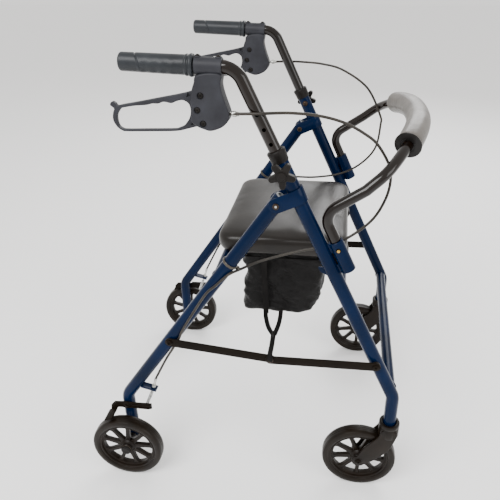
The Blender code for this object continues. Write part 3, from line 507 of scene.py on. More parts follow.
def flat(name, outlines, y_from, y_to, surface, edge=0.0008, sharp=40):
    """A plate with rounded edges, thick along Y: the first (x, z) outline less the others."""
    low, high = sorted((y_from, y_to))
    line = bpy.data.curves.new(name, "CURVE")
    line.dimensions, line.fill_mode = "2D", "BOTH"
    line.bevel_depth, line.bevel_resolution, line.offset = edge, 3, -edge
    line.extrude = max(0.00001, (high - low) / 2 - edge)
    for outline in outlines:
        loop = line.splines.new("POLY")
        loop.points.add(len(outline) - 1)
        for point, (x, z) in zip(loop.points, outline):
            point.co = (x, z, 0, 1)
        loop.use_cyclic_u = True
    made = link(name, line)
    mesh = solid(made)
    bpy.data.objects.remove(made, do_unlink=True)
    shape = bmesh.new()
    shape.from_mesh(mesh)
    for vertex in shape.verts:
        x, z, y = vertex.co
        vertex.co = (x, (low + high) / 2 - y, z)
    return keep(name, shape, surface, sharp)


def along_y(x, y, z, way):
    """Places a turned piece's Z axis along Y, towards +Y or -Y by the sign of way."""
    return Matrix.Translation((x, y, z)) @ Matrix.Rotation(-way * math.pi / 2, 4, "X")


def across(x, z, y_from, side):
    """Heading outboard from y_from on that side."""
    return along_y(x, side * y_from, z, side)


def inward(x, z, y_from, side):
    """As across, but heading towards the walker's middle."""
    return along_y(x, side * y_from, z, -side)


def axis_place(point, way):
    return Matrix.Translation(point) @ Vector(way).to_track_quat("Z", "Y").to_matrix().to_4x4()


def joined(name, pieces):
    """One object of several; each keeps its material."""
    first = pieces[0]
    with bpy.context.temp_override(active_object=first, selected_editable_objects=pieces,
            selected_objects=pieces, object=first):
        bpy.ops.object.join()
    first.name = first.data.name = name
    return first


def screw_head(name, place, radius, height, surface=ZINC, socket=0.0, washer=0.0):
    """A domed head, with a hexagon socket or a washer under it where sizes are given."""
    crown = [(radius * math.cos(a), height * (0.35 + 0.65 * math.sin(a)))
        for a in (math.radians(d) for d in (0, 20, 40, 60, 75))]
    profile = [(radius, 0.0)] + crown
    if socket:
        profile += [(socket * 1.15, height), (socket, height * 0.94), (socket, height * 0.35),
            (0.0, height * 0.3)]
    else:
        profile += [(0.0, height)]
    head = turned(name, profile, place, surface, 36)
    if washer:
        ring = [(washer, 0.0), (washer, 0.0009), (radius * 0.9, 0.0012), (radius * 0.9, 0.0)]
        head = joined(name, [head, turned(name + "_washer", ring, place, surface, 36)])
    return head


def hexagon(name, place, radius, height):
    """A hexagon nut or bolt head with chamfered corners."""
    sides = turned(name, [(radius, 0.0), (radius, height), (0.0, height)], place, ZINC, 6)
    cone = turned("tool", [(radius * 1.3, -0.001), (radius * 1.3, height * 0.55),
        (radius * 0.8, height * 1.02), (0.0, height * 1.02)], place, ZINC, 36)
    return combine(sides, cone, "INTERSECT")


# ---- frames ----
def front_frame(label, side):
    """Front leg, and beside it the sleeve and button that take the backrest."""
    y = side * HALF_TRACK
    line = [(front_x(FRONT_TOP_Z), y, FRONT_TOP_Z), (STEM_X, y, FRONT_BEND_Z),
        (STEM_X, y, FRONT_FOOT_Z)]
    leg = tube(f"front_leg_tube_{label}", fillet(line, 0.04), FRAME_R, BLUE, LEG_BORE)
    put(leg, "front_frame", "blue_paint", f"front_leg_{label}")
    low = Vector((sleeve_x(SLEEVE_LOW_Z), y, SLEEVE_LOW_Z))
    high = Vector((sleeve_x(SLEEVE_TOP_Z), y, SLEEVE_TOP_Z))
    length = (high - low).length
    wall = mm("10 0, 12.1 0, 12.7 0.7") + moved(mm("12.7 -0.7, 12.1 0, 10 0"), 0, length)
    sleeve = hoop(f"sleeve_tube_{label}", wall, axis_place(low, LEG_UP), BLUE)
    button = across(sleeve_x(BUTTON_Z), BUTTON_Z, HALF_TRACK, side)
    cut(sleeve, hoop("tool", mm("3.6 5, 3.6 11.5, 5.6 13.2, 5.6 20, 0 20, 0 5"), button, BLUE, 32))
    foot = low - LEG_FORWARD * SLEEVE_OFFSET
    pieces = [sleeve]
    # two blue weld webs, and between them a thin black sheet that paints the shade in the gap
    # between leg and sleeve
    welds_and_gap_shade = ((0.0005, 0.018, 0.0045, BLUE, 0.0014), (0.042, 0.0605, 0.0045, BLUE, 0.0014),
        (0.01, 0.05, 0.001, BLACK_STEEL, 0.0004))
    for start, end, half, surface, edge in welds_and_gap_shade:
        corners = [foot + LEG_FORWARD * u + LEG_UP * v for u, v in ((0.0108, start), (0.0108, end),
            (0.0165, end), (0.0165, start))]
        pieces.append(flat("web", [[(c.x, c.z) for c in corners]], y - half, y + half, surface,
            edge))
    sleeve = joined(f"sleeve_tube_{label}", pieces)
    put(sleeve, "front_frame", "blue_paint", f"backrest_sleeve_{label}")
    pin = turned(f"brass_button_{label}", mm("0 4, 3.1 4, 3.1 13.2, 2.6 14.3, 1.6 14.9, 0 15.1"),
        button, BRASS, 32)
    put(pin, f"button_{label}", "brass", f"spring_button_{label}")


def pivot_bracket(label, side):
    """Saddle round the front leg that holds the rear leg, with the fold bolt and its nut."""
    y = side * HALF_TRACK
    bolt = Vector((FOLD_X, y, FOLD_Z))
    leg = bolt + LEG_FORWARD * (front_x(FOLD_Z) - FOLD_X) * math.cos(FRONT_LEAN)
    inner, outer, half_h, reach = FRAME_R + 0.0002, FRAME_R + 0.0029, 0.0132, 0.06
    arc = [math.pi * k / 20 for k in range(21)]

    def saddle(radius):
        return ([(reach, -radius)] + [(-radius * math.sin(a), -radius * math.cos(a)) for a in arc]
            + [(reach, radius)])

    shape = bmesh.new()
    outline = saddle(outer) + saddle(inner)[::-1]
    ends = [[shape.verts.new(leg - LEG_FORWARD * u + Vector((0, v, 0)) + LEG_UP * height)
        for u, v in outline] for height in (-half_h * 1.2, half_h * 1.2)]
    skin(shape, ends)
    bracket = keep(f"fold_bracket_{label}", shape, BLUE)
    nose = leg + LEG_FORWARD * 0.03
    mask = [nose - LEG_UP * half_h, nose + LEG_UP * half_h]
    mask += [bolt + (LEG_UP * math.cos(a) - LEG_FORWARD * math.sin(a)) * half_h for a in arc]
    combine(bracket, flat("tool", [[(p.x, p.z) for p in mask]], y - 0.03, y + 0.03, BLUE, 0.0001),
        "INTERSECT")
    mesh_step(bracket, "BEVEL", width=0.0006, segments=2, limit_method="ANGLE", angle_limit=0.9)
    soften(bracket, 35)
    put(bracket, "front_frame", "blue_paint", f"pivot_bracket_{label}")
    face = HALF_TRACK + outer
    rim = hoop("rim", mm("2.4 0, 5.4 0, 5.4 2.2, 4.8 3, 3 3, 2.4 2.4"),
        across(FOLD_X, FOLD_Z, face, side), BROWN_STEEL, 40)
    core = turned("core", mm("0 0, 2.5 0, 2.5 2, 1.8 2.7, 0 2.8"),
        across(FOLD_X, FOLD_Z, face, side), BARE, 32)
    head = joined(f"fold_bolt_{label}", [rim, core])
    put(head, "front_frame", "zinc_steel", f"pivot_bolt_{label}")
    nut = screw_head(f"fold_nut_{label}", inward(FOLD_X, FOLD_Z, HALF_TRACK - outer, side), 0.0056,
        0.0032, BROWN_STEEL, 0.0024)
    put(nut, "front_frame", "zinc_steel")


def collar_and_knob(label, side):
    """Collar at the front leg's mouth and the five-armed height knob under it."""
    y = side * HALF_TRACK
    low_z = 0.7205
    mouth = (FRONT_TOP_Z - low_z) / math.cos(FRONT_LEAN) + 0.0006
    profile = mm("12.9 0, 13.9 0, 14.3 0.8") + moved(mm("15.3 -2.2, 15.7 -0.8, 15.5 1.4, 14.4 3, "
        "11.8 3.4, 10.7 2.8, 10.7 0, 12.9 0"), 0, mouth)
    ring = hoop(f"leg_collar_{label}", profile, axis_place((front_x(low_z), y, low_z), LEG_UP),
        DARK_PLASTIC)
    put(ring, "front_frame", "charcoal_plastic", f"collar_{label}")
    x, z = front_x(KNOB_Z), KNOB_Z
    near, far = OUTER + 0.0125, OUTER + 0.024
    star = []
    for k in range(5):
        arm = math.radians(58 + 72 * k)
        for turn, radius in ((-29, 0.0121), (-20, 0.016), (-14, 0.0197), (-8, 0.0218), (0, 0.0226),
                (8, 0.0218), (14, 0.0197), (20, 0.016), (29, 0.0121), (36, 0.0114)):
            angle = arm + math.radians(turn)
            star.append((x + radius * math.cos(angle), z + radius * math.sin(angle)))
    star = spline(star, closed=True, per=3)
    body = flat(f"star_knob_{label}", [star], side * near, side * far, DARK_PLASTIC, 0.0022, 50)
    hub = turned("hub", mm("3 -1.5, 3 0.8, 6.2 0.8, 7.5 4, 8 15.5, 8 24.4, 7.2 26.2, 4 27, 0 27"),
        across(x, z, OUTER, side), DARK_PLASTIC, 40)
    put(joined(f"star_knob_{label}", [body, hub]), f"knob_{label}", "charcoal_plastic",
        f"height_knob_{label}")
    nut = screw_head(f"height_bolt_end_{label}", inward(x, z, HALF_TRACK - FRAME_R, side), 0.0042,
        0.0028, BROWN_STEEL, 0.0018, 0.0058)
    put(nut, "front_frame", "black_steel")


def crossbars():
    """Three bars between the sides; two have weld beads, the front seat bar has gussets."""
    end = HALF_TRACK - 0.008
    rear = ("seat_bar_rear", rear_x(REAR_BAR_Z), REAR_BAR_Z, "rear_frame", "seat_crossbar_rear")
    front = ("low_bar_front", front_x(FRONT_BAR_Z), FRONT_BAR_Z, "front_frame", "front_crossbar")
    for name, x, z, body, node in (rear, front):
        bar = tube(name, [(x, -end, z), (x, end, z)], CROSS_R, BLUE)
        beads = []
        for _, side in SIDES:
            bead = moved(mm("0.1 -3.5, 0.9 -2.6, 1.7 0, 2.4 3, -1 3"), CROSS_R)
            beads.append(hoop("bead", bead, across(x, z, HALF_TRACK - FRAME_R, side), BLUE))
        put(joined(name, [bar] + beads), body, "blue_paint", node)
    x, z = SEAT_HINGE_X, SEAT_BAR_Z
    pieces = [tube("seat_bar_front", [(x, -end, z), (x, end, z)], CROSS_R, BLUE)]
    plane = HALF_TRACK - FRAME_R - GAP - 0.002
    outline = moved(mm("-39 25.8, -39.7 24, -35.4 15.6, -25.3 10.1, -14.6 4, -6 -9, 0 -10.8, "
        "7 -7.5, 8.4 0, -8 25.8"), x, z)
    for _, side in SIDES:
        pieces.append(flat("gusset", [outline], side * (plane - 0.0036), side * plane, BLUE, 0.001))
    put(joined("seat_bar_front", pieces), "front_frame", "blue_paint", "seat_crossbar_front")
    for label, side in SIDES:
        heads = [screw_head("rivet", inward(x + u, z + v, plane - 0.0034, side), 0.003, 0.0016,
            BRASS) for u, v in ((-0.0326, 0.018), (-0.0251, 0.015))]
        put(joined(f"gusset_rivets_{label}", heads), "front_frame", "brass")


def rear_frame(label, side):
    """Rear leg with its plugs, the brake cable's tab and the cable clip."""
    y = side * HALF_TRACK
    top = Vector((FOLD_X, y, FOLD_Z)) + REAR_UP * 0.014
    line = fillet([top, (REAR_X, y, REAR_BEND_Z), (REAR_X, y, REAR_FOOT_Z)], 0.04)
    leg = tube(f"rear_leg_tube_{label}", line, FRAME_R, BLUE, LEG_BORE)
    tab = strap("tab", [(-0.22, y, 0.2164), (-0.204, y, 0.2126), (-0.188, y, 0.2079)], 0.015, 0.003,
        BLUE, (0, 0, 1))
    put(joined(f"rear_leg_tube_{label}", [leg, tab]), "rear_frame", "blue_paint",
        f"rear_leg_{label}")
    plug = turned(f"rear_leg_mouth_{label}", mm("10.9 -6, 10.9 0.4, 10.4 1, 7.8 1.2, 7.2 -1, "
        "0 -1.2, 0 -6"), axis_place(top, REAR_UP), PALE_PLASTIC)
    put(plug, "rear_frame", "charcoal_plastic")
    foot = turned(f"rear_leg_plug_{label}", mm("10.5 10, 10.5 0, 12.8 -0.2, 13 -2.2, 10.5 -3.4, "
        "0 -3.6"), Matrix.Translation((REAR_X, y, REAR_FOOT_Z)), DARK_PLASTIC)
    put(foot, "rear_frame", "charcoal_plastic")
    clip_at = Vector((rear_x(CLIP_Z), y, CLIP_Z))
    band = hoop("band", moved(mm("0.2 -2.4, 1.6 -2.5, 2.2 -1.6, 2.2 1.6, 1.6 2.5, 0.2 2.4"),
        FRAME_R), axis_place(clip_at, REAR_UP), CLIP)
    eye_at = clip_at + REAR_FORWARD * (FRAME_R + 0.0042) - REAR_UP * 0.001
    eye_way = (REAR_UP * 0.4 + REAR_FORWARD * 0.5 - Vector((0, side, 0)) * 0.75).normalized()
    eye = hoop("eye", mm("2.6 -2.6, 3.6 -2.6, 4 -1.4, 4 1.4, 3.6 2.6, 2.6 2.6"),
        axis_place(eye_at, eye_way), CLIP, 32)
    put(joined(f"cable_band_{label}", [band, eye]), "rear_frame", "charcoal_plastic",
        f"cable_clip_{label}")


# ---- handles ----
def handle_point(x, y):
    """A point of the handle's upper run."""
    return Vector((x, y, HANDLE_Z + GRIP_RISE * (HANDLE_BEND_X - x)))


def handle(label, side):
    y = side * HALF_TRACK
    end = handle_point(-0.169, y)
    path = fillet([(front_x(0.6), y, 0.6), (HANDLE_BEND_X, y, HANDLE_Z), end], 0.034, 18)
    bar = tube(f"handle_bar_{label}", path, HANDLE_R, BLACK_GLOSS, 0.009, 48)
    for step in range(4):
        hole = Vector((front_x(KNOB_Z), 0, KNOB_Z)) + LEG_UP * (HOLE_PITCH * step + FIRST_HOLE)
        cut(bar, turned("tool", [(0.0032, 0.004), (0.0032, 0.02)],
            across(hole.x, hole.z, HALF_TRACK, side), BLACK_GLOSS, 24))
    put(bar, f"handle_{label}", "black_paint", f"handle_tube_{label}")
    put(grip(label, side), f"handle_{label}", "grip_rubber", f"grip_{label}")


def grip(label, side):
    """Rubber grip: flange, soft finger swells on its outer face, and a spiral groove by its end."""
    start, length, sides = handle_point(-0.0588, side * HALF_TRACK), 0.1162, 72
    place = axis_place(start, GRIP_WAY)
    outer = place.to_3x3().inverted() @ Vector((0, side, -0.35))
    outer_angle = math.atan2(outer.y, outer.x)
    shape = bmesh.new()
    rings = []
    for k in range(201):
        h = length * k / 200
        radius = 0.0152 - 0.001 * h / length
        if h < 0.0125:
            radius += 0.0022 * bump_at(h, 0.003, 0.0032) + 0.0012 * bump_at(h, 0.01, 0.0024)
        tail = max(0.0, (h - (length - 0.004)) / 0.004)
        radius -= 0.0048 * (1 - math.sqrt(max(0.0, 1 - tail ** 2)))
        ring = []
        for j in range(sides):
            angle = 2 * math.pi * j / sides
            size = radius
            if 0.024 < h < 0.088:
                ridge = math.sin(math.pi * (h - 0.024) / 0.016) ** 2
                size += 0.0011 * ridge * max(0.0, math.cos(angle - outer_angle)) ** 3
            turn = (angle - math.pi * (h - 0.082) / 0.018) / (2 * math.pi)
            if 0.08 < h < length - 0.007:
                size -= 0.0011 * bump_at((turn - round(turn)) * 0.036, 0.0, 0.0013)
            ring.append(shape.verts.new(place @ Vector((size * math.cos(angle),
                size * math.sin(angle), h))))
        rings.append(ring)
    skin(shape, rings, (-1,))
    lip = [shape.verts.new(place @ Vector((x, y, 0.0))) for x, y in circle(HANDLE_R + 0.0002,
        sides)]
    bridge(shape, lip, rings[0])
    return keep(f"grip_sleeve_{label}", shape, GRIP_RUBBER, 50)


def bump_at(where, centre, half):
    """A rounded hump one high at the centre, gone at half a width away."""
    return max(0.0, 1 - ((where - centre) / half) ** 2) ** 0.5


def housing(label, side):
    """Brake case clamped on the handle: shell, slot for the lever, screws and clamp bolts."""
    y = side * HALF_TRACK
    outline = spline(mm("-54.3 854.5, -58.2 844, -62 833.7, -65 818.6, -64.4 798.6, -66.4 785, "
        "-56.9 776.8, -46 772.3, -36.5 770.2, -25.2 773, -15.4 778.1, -7.8 786, -5.3 794, "
        "-6.4 802, -13.2 822.8, -16.8 840, -15.8 856, -35 859"), closed=True, per=5)
    body = flat(f"brake_case_{label}", [outline], y - 0.013, y + 0.013, CHARCOAL, 0.003)
    front, rear = handle_point(-0.0145, y), handle_point(-0.0572, y)
    length = (rear - front).length
    profile = mm("0 0, 12.6 0, 13.4 0.8") + moved(mm("13.4 -0.8, 12.6 0, 0 0"), 0, length)
    weld(body, turned("sleeve", profile, axis_place(front, GRIP_WAY), CHARCOAL))
    slot_outline = mm("-80 760, -20 760, -20 840, -24 846, -80 846")
    cut(body, flat("tool", [slot_outline], y - 0.0068, y + 0.0068, CHARCOAL, 0.0004))
    for x, z in SCREWS:
        for facing in (across, inward):
            cut(body, turned("tool", mm("0 10.6, 5.4 10.6, 5.8 15, 0 15"),
                facing(x, z, HALF_TRACK, side), CHARCOAL, 32))
    front, rear = handle_point(0.0, y), handle_point(-0.07, y)
    cut(body, tube("tool", [front, rear], HANDLE_R + 0.0002, CHARCOAL, 0.0, 48))
    put(body, f"handle_{label}", "charcoal_plastic", f"brake_housing_{label}")
    screws = []
    for facing, depth in ((across, 0.0104), (inward, -0.0104)):
        for x, z in SCREWS:
            screws.append(screw_head("screw", facing(x, z, HALF_TRACK + depth, side), 0.0044, 0.002,
                DARK_PLASTIC, 0.0022))
    put(joined(f"case_screws_{label}", screws), f"handle_{label}", "black_steel")
    bolts = []
    for x in (-0.02, -0.052):
        top = handle_point(x, y) + Vector((0, 0, 0.0128))
        boss = turned("boss", mm("5.6 -4, 5.6 0.8, 5 1.6, 0 1.6"), Matrix.Translation(top),
            CHARCOAL, 36)
        head = screw_head("clamp", Matrix.Translation(top + Vector((0, 0, 0.0012))), 0.0036, 0.0026,
            DARK_PLASTIC, 0.0018)
        bolts += [boss, head]
    put(joined(f"clamp_bolts_{label}", bolts), f"handle_{label}", "charcoal_plastic")
    adjuster(label, side)


def adjuster(label, side):
    """Silver barrel adjuster where the cable leaves the brake case."""
    place = axis_place((-0.0062, side * 0.2268, 0.7968), (1.0, side * 0.09, 0.03))
    thread = [(0.0, 0.0)]
    for k in range(5):
        thread += [(0.0026, 0.0002 + 0.0009 * k), (0.0022, 0.0006 + 0.0009 * k)]
    profile = thread + mm("2.2 4.6, 4.2 4.8, 4.6 5.6, 4.6 10.8, 4.2 11.6, 3.4 11.8, 3.4 15, "
        "2.9 15.6, 0 15.6")
    barrel = turned(f"cable_adjuster_{label}", profile, place, ZINC, 36)
    for vertex in barrel.data.vertices:
        local = place.inverted() @ vertex.co
        if 0.005 < local.z < 0.0112:
            notch = 1 - 0.07 * max(0.0, math.cos(12 * math.atan2(local.y, local.x)))
            vertex.co = place @ Vector((local.x * notch, local.y * notch, local.z))
    put(barrel, f"handle_{label}", "zinc_steel")


def lever(label, side):
    """Loop lever: deep top bar with shallow finger scallops, thin bottom bar, hooked tail."""
    y = side * HALF_TRACK
    outer = spline(mm("-34 832, -40 839, -52 838.5, -65.6 830, -85.1 824.8, -118 818.2, "
        "-151.5 811.4, -176.9 806.6, -187.3 804.6, -190 808.3, -195.5 810.6, -199 805.5, "
        "-193.2 800.1, -195.2 794.5, -197.2 786.4, -196.6 779.1, -191.8 770.3, -184.4 764.7, "
        "-176.1 763.3, -137.4 764.6, -104.1 765.8, -87.5 767.4, -77.5 770, -62 774.2, -44 778.8, "
        "-35 785, -33 800"), closed=True, per=4)
    inner = spline(mm("-68 797.9, -68.8 807.2, -72.4 812.5, -80 815.8, -89.9 813.7, -98.2 810.6, "
        "-110 812.4, -119.3 809.4, -128.9 809.2, -139 806.8, -157.2 805.2, -174 802.4, -181.8 800, "
        "-189.2 790.7, -190.8 780.9, -189 772, -183.8 767.6, -176.1 766.5, -140.4 767.8, "
        "-98.4 769.4, -90 771.2, -81.2 775.1, -75.8 780.9, -70.8 788"), closed=True, per=4)
    bar = flat(f"brake_loop_{label}", [outer, inner], y - LEVER_HALF_T, y + LEVER_HALF_T, CHARCOAL,
        0.0012)
    for outline in (mm("-73 820.6, -65.6 823.4, -70 828.6"), mm("-69 777, -65 786, -64 778")):
        for face in (-1, 1):
            edge = y + face * LEVER_HALF_T
            cut(bar, flat("tool", [outline], edge - 0.003, edge + 0.003, CHARCOAL, 0.0001))
    put(bar, f"lever_{label}", "charcoal_plastic", f"brake_lever_{label}")


# ---- wheels ----
def wheel(name, x, y, body, nodes, first_spoke):
    """Grooved tyre, nine-spoked rim with its hub, and a bearing ring on each face."""
    place = across(x, WHEEL_R, y, 1)
    shoulder = moved(mm("61.2 3, 62.8 1.2, 66 0, 71.5 0.4, 74.2 1.6, 75.7 4.2, 76.2 7.2"), 0,
        -TYRE_W / 2)
    shoulder += mm("76.2 -3, 75.7 -2.6, 75.7 -1.8, 76.2 -1.4")
    profile = shoulder + [(r, -h) for r, h in shoulder[::-1]]
    tread = hoop(f"{name}_tyre_ring", profile, place, TYRE, 96)
    put(tread, body, "tyre_rubber", nodes[1])
    rim = mm("61 9.8, 59.8 10.4, 58 10.4, 56.8 9.4, 56 6, 53.6 4.4, 53.2 0")
    hub = [(AXLE_BORE, HUB_W / 2), (0.0114, HUB_W / 2), (0.0124, HUB_W / 2 - 0.0012),
        (0.0126, 0.009), (0.016, 0.0062), (0.0168, 0.005)]
    pieces = [hoop("rim", rim + [(r, -h) for r, h in rim[-2::-1]], place, WHEEL_PLASTIC, 96),
        hoop("hub", hub + [(r, -h) for r, h in hub[::-1]], place, WHEEL_PLASTIC, 60)]
    half_widths = mm("15 6.6, 19 5.1, 24 4.5, 40 3.9, 47 4, 50.8 5, 53.2 7.4, 55.2 9.8")
    for k in range(9):
        angle = math.radians(first_spoke + 40 * k)
        way = Vector((math.cos(angle), math.sin(angle)))
        wide = Vector((-way.y, way.x))
        corners = [way * u - wide * v for u, v in half_widths]
        corners += [way * u + wide * v for u, v in half_widths[::-1]]
        pieces.append(flat("spoke", [[(x + c.x, WHEEL_R + c.y) for c in corners]], y - 0.0046,
            y + 0.0046, WHEEL_PLASTIC, 0.0013))
    put(joined(f"{name}_spoked_rim", pieces), body, "wheel_plastic", nodes[0])
    for side in (-1, 1):
        spot = along_y(x, y + side * (HUB_W / 2 - 0.0001), WHEEL_R, side)
        bearing = hoop(f"{name}_bearing_{'in' if side < 0 else 'out'}",
            mm("5.3 0, 11.2 0, 11.2 0.4, 9.2 0.6, 5.3 0.3"), spot, HUB_RING, 36)
        put(bearing, body, "zinc_steel")


def rear_hardware(label, side):
    """Axle, spacer and cap, then the brake's arm, shoe and wire."""
    hub_in = REAR_WHEEL_Y - HUB_W / 2 - HALF_TRACK
    hub_out = REAR_WHEEL_Y + HUB_W / 2 - HALF_TRACK
    place = across(REAR_X, WHEEL_R, HALF_TRACK, side)
    rod = turned("rod", [(0.0, -FRAME_R - 0.0002), (0.005, -FRAME_R - 0.0002),
        (0.005, hub_out + 0.001), (0.0, hub_out + 0.001)], place, ZINC, 32)
    profile = moved(mm("5.2 -0.4, 8.8 -0.4, 9.2 1"), 0, FRAME_R)
    profile += moved(mm("9.2 -1.2, 8 -0.3, 5.2 -0.3"), 0, hub_in)
    spacer = hoop("spacer", profile, place, DARK_PLASTIC)
    head = hexagon("head", across(REAR_X, WHEEL_R, HALF_TRACK - FRAME_R - 0.005, side), 0.0078,
        0.005)
    cap = turned("cap", moved(mm("10.6 0.6, 11.1 1.8, 10.2 4.2, 6.6 5.4, 6 4.8, 0 4.6"), 0,
        hub_out), place, DARK_PLASTIC)
    put(joined(f"rear_axle_set_{label}", [rod, spacer, head, cap]), "rear_frame", "zinc_steel",
        f"rear_axle_{label}")
    inner, outer = side * (OUTER + 0.0005), side * (OUTER + 0.0043)
    outline = mm("-198.5 179, -199 166.2, -206 163, -243 162.8, -253 161, -264 162.8, -273.5 162, "
        "-276.5 157.5, -288 153.5, -290.2 156, -288.5 167, -280 176.5, -253 178.8, -240 178, "
        "-208 179")
    arm = flat("arm", [outline], inner, outer, BLACK_STEEL, 0.001)
    shoe_outline = []
    for r, a in ((0.0826, 16), (0.0825, 22), (0.0826, 28), (0.086, 28), (0.0862, 22), (0.086, 16)):
        turn = math.radians(a)
        shoe_outline.append((REAR_X - r * math.sin(turn), WHEEL_R + r * math.cos(turn)))
    shoe = flat("shoe", [shoe_outline], side * (OUTER + 0.0018), side * (REAR_WHEEL_Y + 0.0098),
        BLACK_STEEL, 0.001)
    lip = flat("lip", [mm("-198.5 179, -198.5 176.8, -240 175.8, -240 178")], outer,
        side * (OUTER + 0.01), BLACK_STEEL, 0.0006)
    put(joined(f"brake_swing_arm_{label}", [arm, shoe, lip]), f"brake_{label}", "black_steel",
        f"brake_arm_{label}")
    pivot = screw_head(f"brake_pivot_{label}", across(BRAKE_X, BRAKE_Z, OUTER + 0.0042, side),
        0.0062, 0.0034, BLACK_STEEL, 0.0024, 0.0074)
    put(pivot, "rear_frame", "black_steel")
    brake_wire(label, side)


def brake_wire(label, side):
    """Threaded end of the cable's sheath, and the bare wire with its return spring."""
    upper, lower, end = handed("-186.8 223 238.8, -198.5 222 202, -214 226.2 165.5", side)
    way = (lower - upper).normalized()
    place = axis_place(upper + way * 0.0005, way)
    length = (lower - upper).length
    profile = mm("0 0, 2.6 0, 3 0.6, 3 8.5, 2.4 9")
    for k in range(9):
        profile += [(0.0026, 0.0096 + 0.0011 * k), (0.0021, 0.0101 + 0.0011 * k)]
    profile += [(0.0024, 0.0196), (0.004, 0.0198), (0.0044, 0.0206), (0.0044, 0.0256),
        (0.004, 0.0264), (0.0026, 0.0266), (0.0026, length), (0.0, length)]
    put(turned(f"brake_adjuster_{label}", profile, place, ZINC, 36), "rear_frame", "zinc_steel")
    start = lower + way * 0.0005
    inner_line = spline([start, start.lerp(end, 0.5) + Vector((0.001, 0, 0)), end], 0.002)
    wire = tube("wire", inner_line, 0.0017, PALE_PLASTIC, 0.0, 16)
    coil = []
    turns, steps = 10, 14
    for k in range(turns * steps + 1):
        t = k / (turns * steps)
        centre = start.lerp(end, 0.03 + 0.92 * t)
        turn = 2 * math.pi * k / steps
        coil.append(centre + Vector((math.cos(turn), math.sin(turn), 0)) * 0.0028)
    spring = tube("spring", coil, 0.001, BARE, 0.0, 8)
    put(joined(f"brake_wire_{label}", [wire, spring]), "rear_frame", "zinc_steel")


def caster(label, side):
    """Cup, two arms and the axle, which swivel, and the stem's bush, which does not."""
    y = side * HALF_TRACK
    place = Matrix.Translation((STEM_X, y, 0))
    cup = mm("5.3 145, 18.5 145, 20 146, 20.5 148, 20.5 169, 20.1 170, 20.1 171.2, 20.6 172.2, "
        "20.6 177.2, 19.8 179.4, 18 180.1, 15 179.8, 13.4 178.4, 13.3 166.8, 5.3 166.8")
    pieces = [hoop("cup", cup, place, WHEEL_PLASTIC, 64)]
    first = math.atan2(0.106 - WHEEL_R, STEM_X - 0.052 - FRONT_AXLE_X) + 0.35
    arm = moved(mm("15 166, -15 166, -19.5 152, -30 137, -46 117"), STEM_X)
    arm += [(FRONT_AXLE_X + 0.014 * math.cos(first + 3.7 * k / 12),
        WHEEL_R + 0.014 * math.sin(first + 3.7 * k / 12)) for k in range(13)]
    arm += moved(mm("-28 80, -12 96, 2 115, 11 138"), STEM_X)
    arm = spline(arm, closed=True, per=3)
    for face in (-1, 1):
        pieces.append(flat("arm", [arm], y + face * 0.0147, y + face * 0.019, WHEEL_PLASTIC,
            0.0013))
        pieces.append(turned("boss", mm("0 14.7, 10 14.7, 10 18.6, 8.8 19.6, 0 19.6"),
            along_y(FRONT_AXLE_X, y, WHEEL_R, face), WHEEL_PLASTIC, 40))
    put(joined(f"caster_yoke_{label}", pieces), f"caster_{label}", "wheel_plastic",
        f"caster_fork_{label}")
    ends = [screw_head("end", along_y(FRONT_AXLE_X, y + face * 0.0192, WHEEL_R, face), 0.0066,
        0.0032, BLACK_STEEL, 0.0024) for face in (-1, 1)]
    axle = along_y(FRONT_AXLE_X, y, WHEEL_R, -1)
    rod = turned("rod", mm("0 -19.2, 5 -19.2, 5 19.2, 0 19.2"), axle, ZINC, 24)
    put(joined(f"front_axle_set_{label}", ends + [rod]), f"caster_{label}", "black_steel",
        f"front_axle_{label}")
    stem = turned(f"stem_bush_{label}", mm("0 168, 13 168, 13.2 170.5, 12.6 171.6, 0 171.6"), place,
        DARK_PLASTIC, 48)
    nut = hexagon("nut", Matrix.Translation((STEM_X, y, 0.1405)), 0.0078, 0.0042)
    put(joined(f"stem_bush_{label}", [stem, nut]), "front_frame", "zinc_steel",
        f"caster_stem_{label}")


# ---- side braces ----
def brace(name, start, end, y_in, y_out, side):
    """A flat link with full-round ends."""
    start, end = Vector(start), Vector(end)
    way = (end - start).normalized()
    wide = Vector((-way.y, way.x))
    outline = []
    for centre, sense in ((end, 1), (start, -1)):
        for k in range(17):
            turn = math.pi * k / 16 - math.pi / 2
            outline.append(tuple(centre
                + (way * math.cos(turn) + wide * math.sin(turn)) * sense * 0.009))
    return flat(name, [outline], side * y_in, side * y_out, BLACK_STEEL, 0.0007)


def braces(label, side):
    """The two links of a side, overlapping at the middle bolt."""
    links = (("rear", BRACE_A, (BRACE_A, BRACE_M), OUTER + 0.0015, 0.0036),
        ("front", BRACE_B, (BRACE_M, BRACE_B), OUTER + 0.0048, 0.003))
    for name, bolt_at, ends, near, rise in links:
        far = near + 0.003
        low, high = OUTER + 0.0002, near + 0.0004
        plate = brace("plate", *ends, near, far, side)
        bolt = screw_head("bolt", across(*bolt_at, far, side), 0.006, rise, BLACK_STEEL, 0.0022)
        boss = hoop("boss", [(0.008, low), (0.008, high), (0.004, high), (0.004, low)],
            across(*bolt_at, 0.0, side), DARK_PLASTIC, 40)
        pieces = [plate, bolt, boss]
        if name == "front":
            pieces.append(screw_head("middle", across(*BRACE_M, far, side), 0.0048, 0.0026,
                BROWN_STEEL, 0.002, 0.006))
        put(joined(f"{name}_link_{label}", pieces), f"link_{name}_{label}", "black_steel",
            f"brace_{name}_{label}")


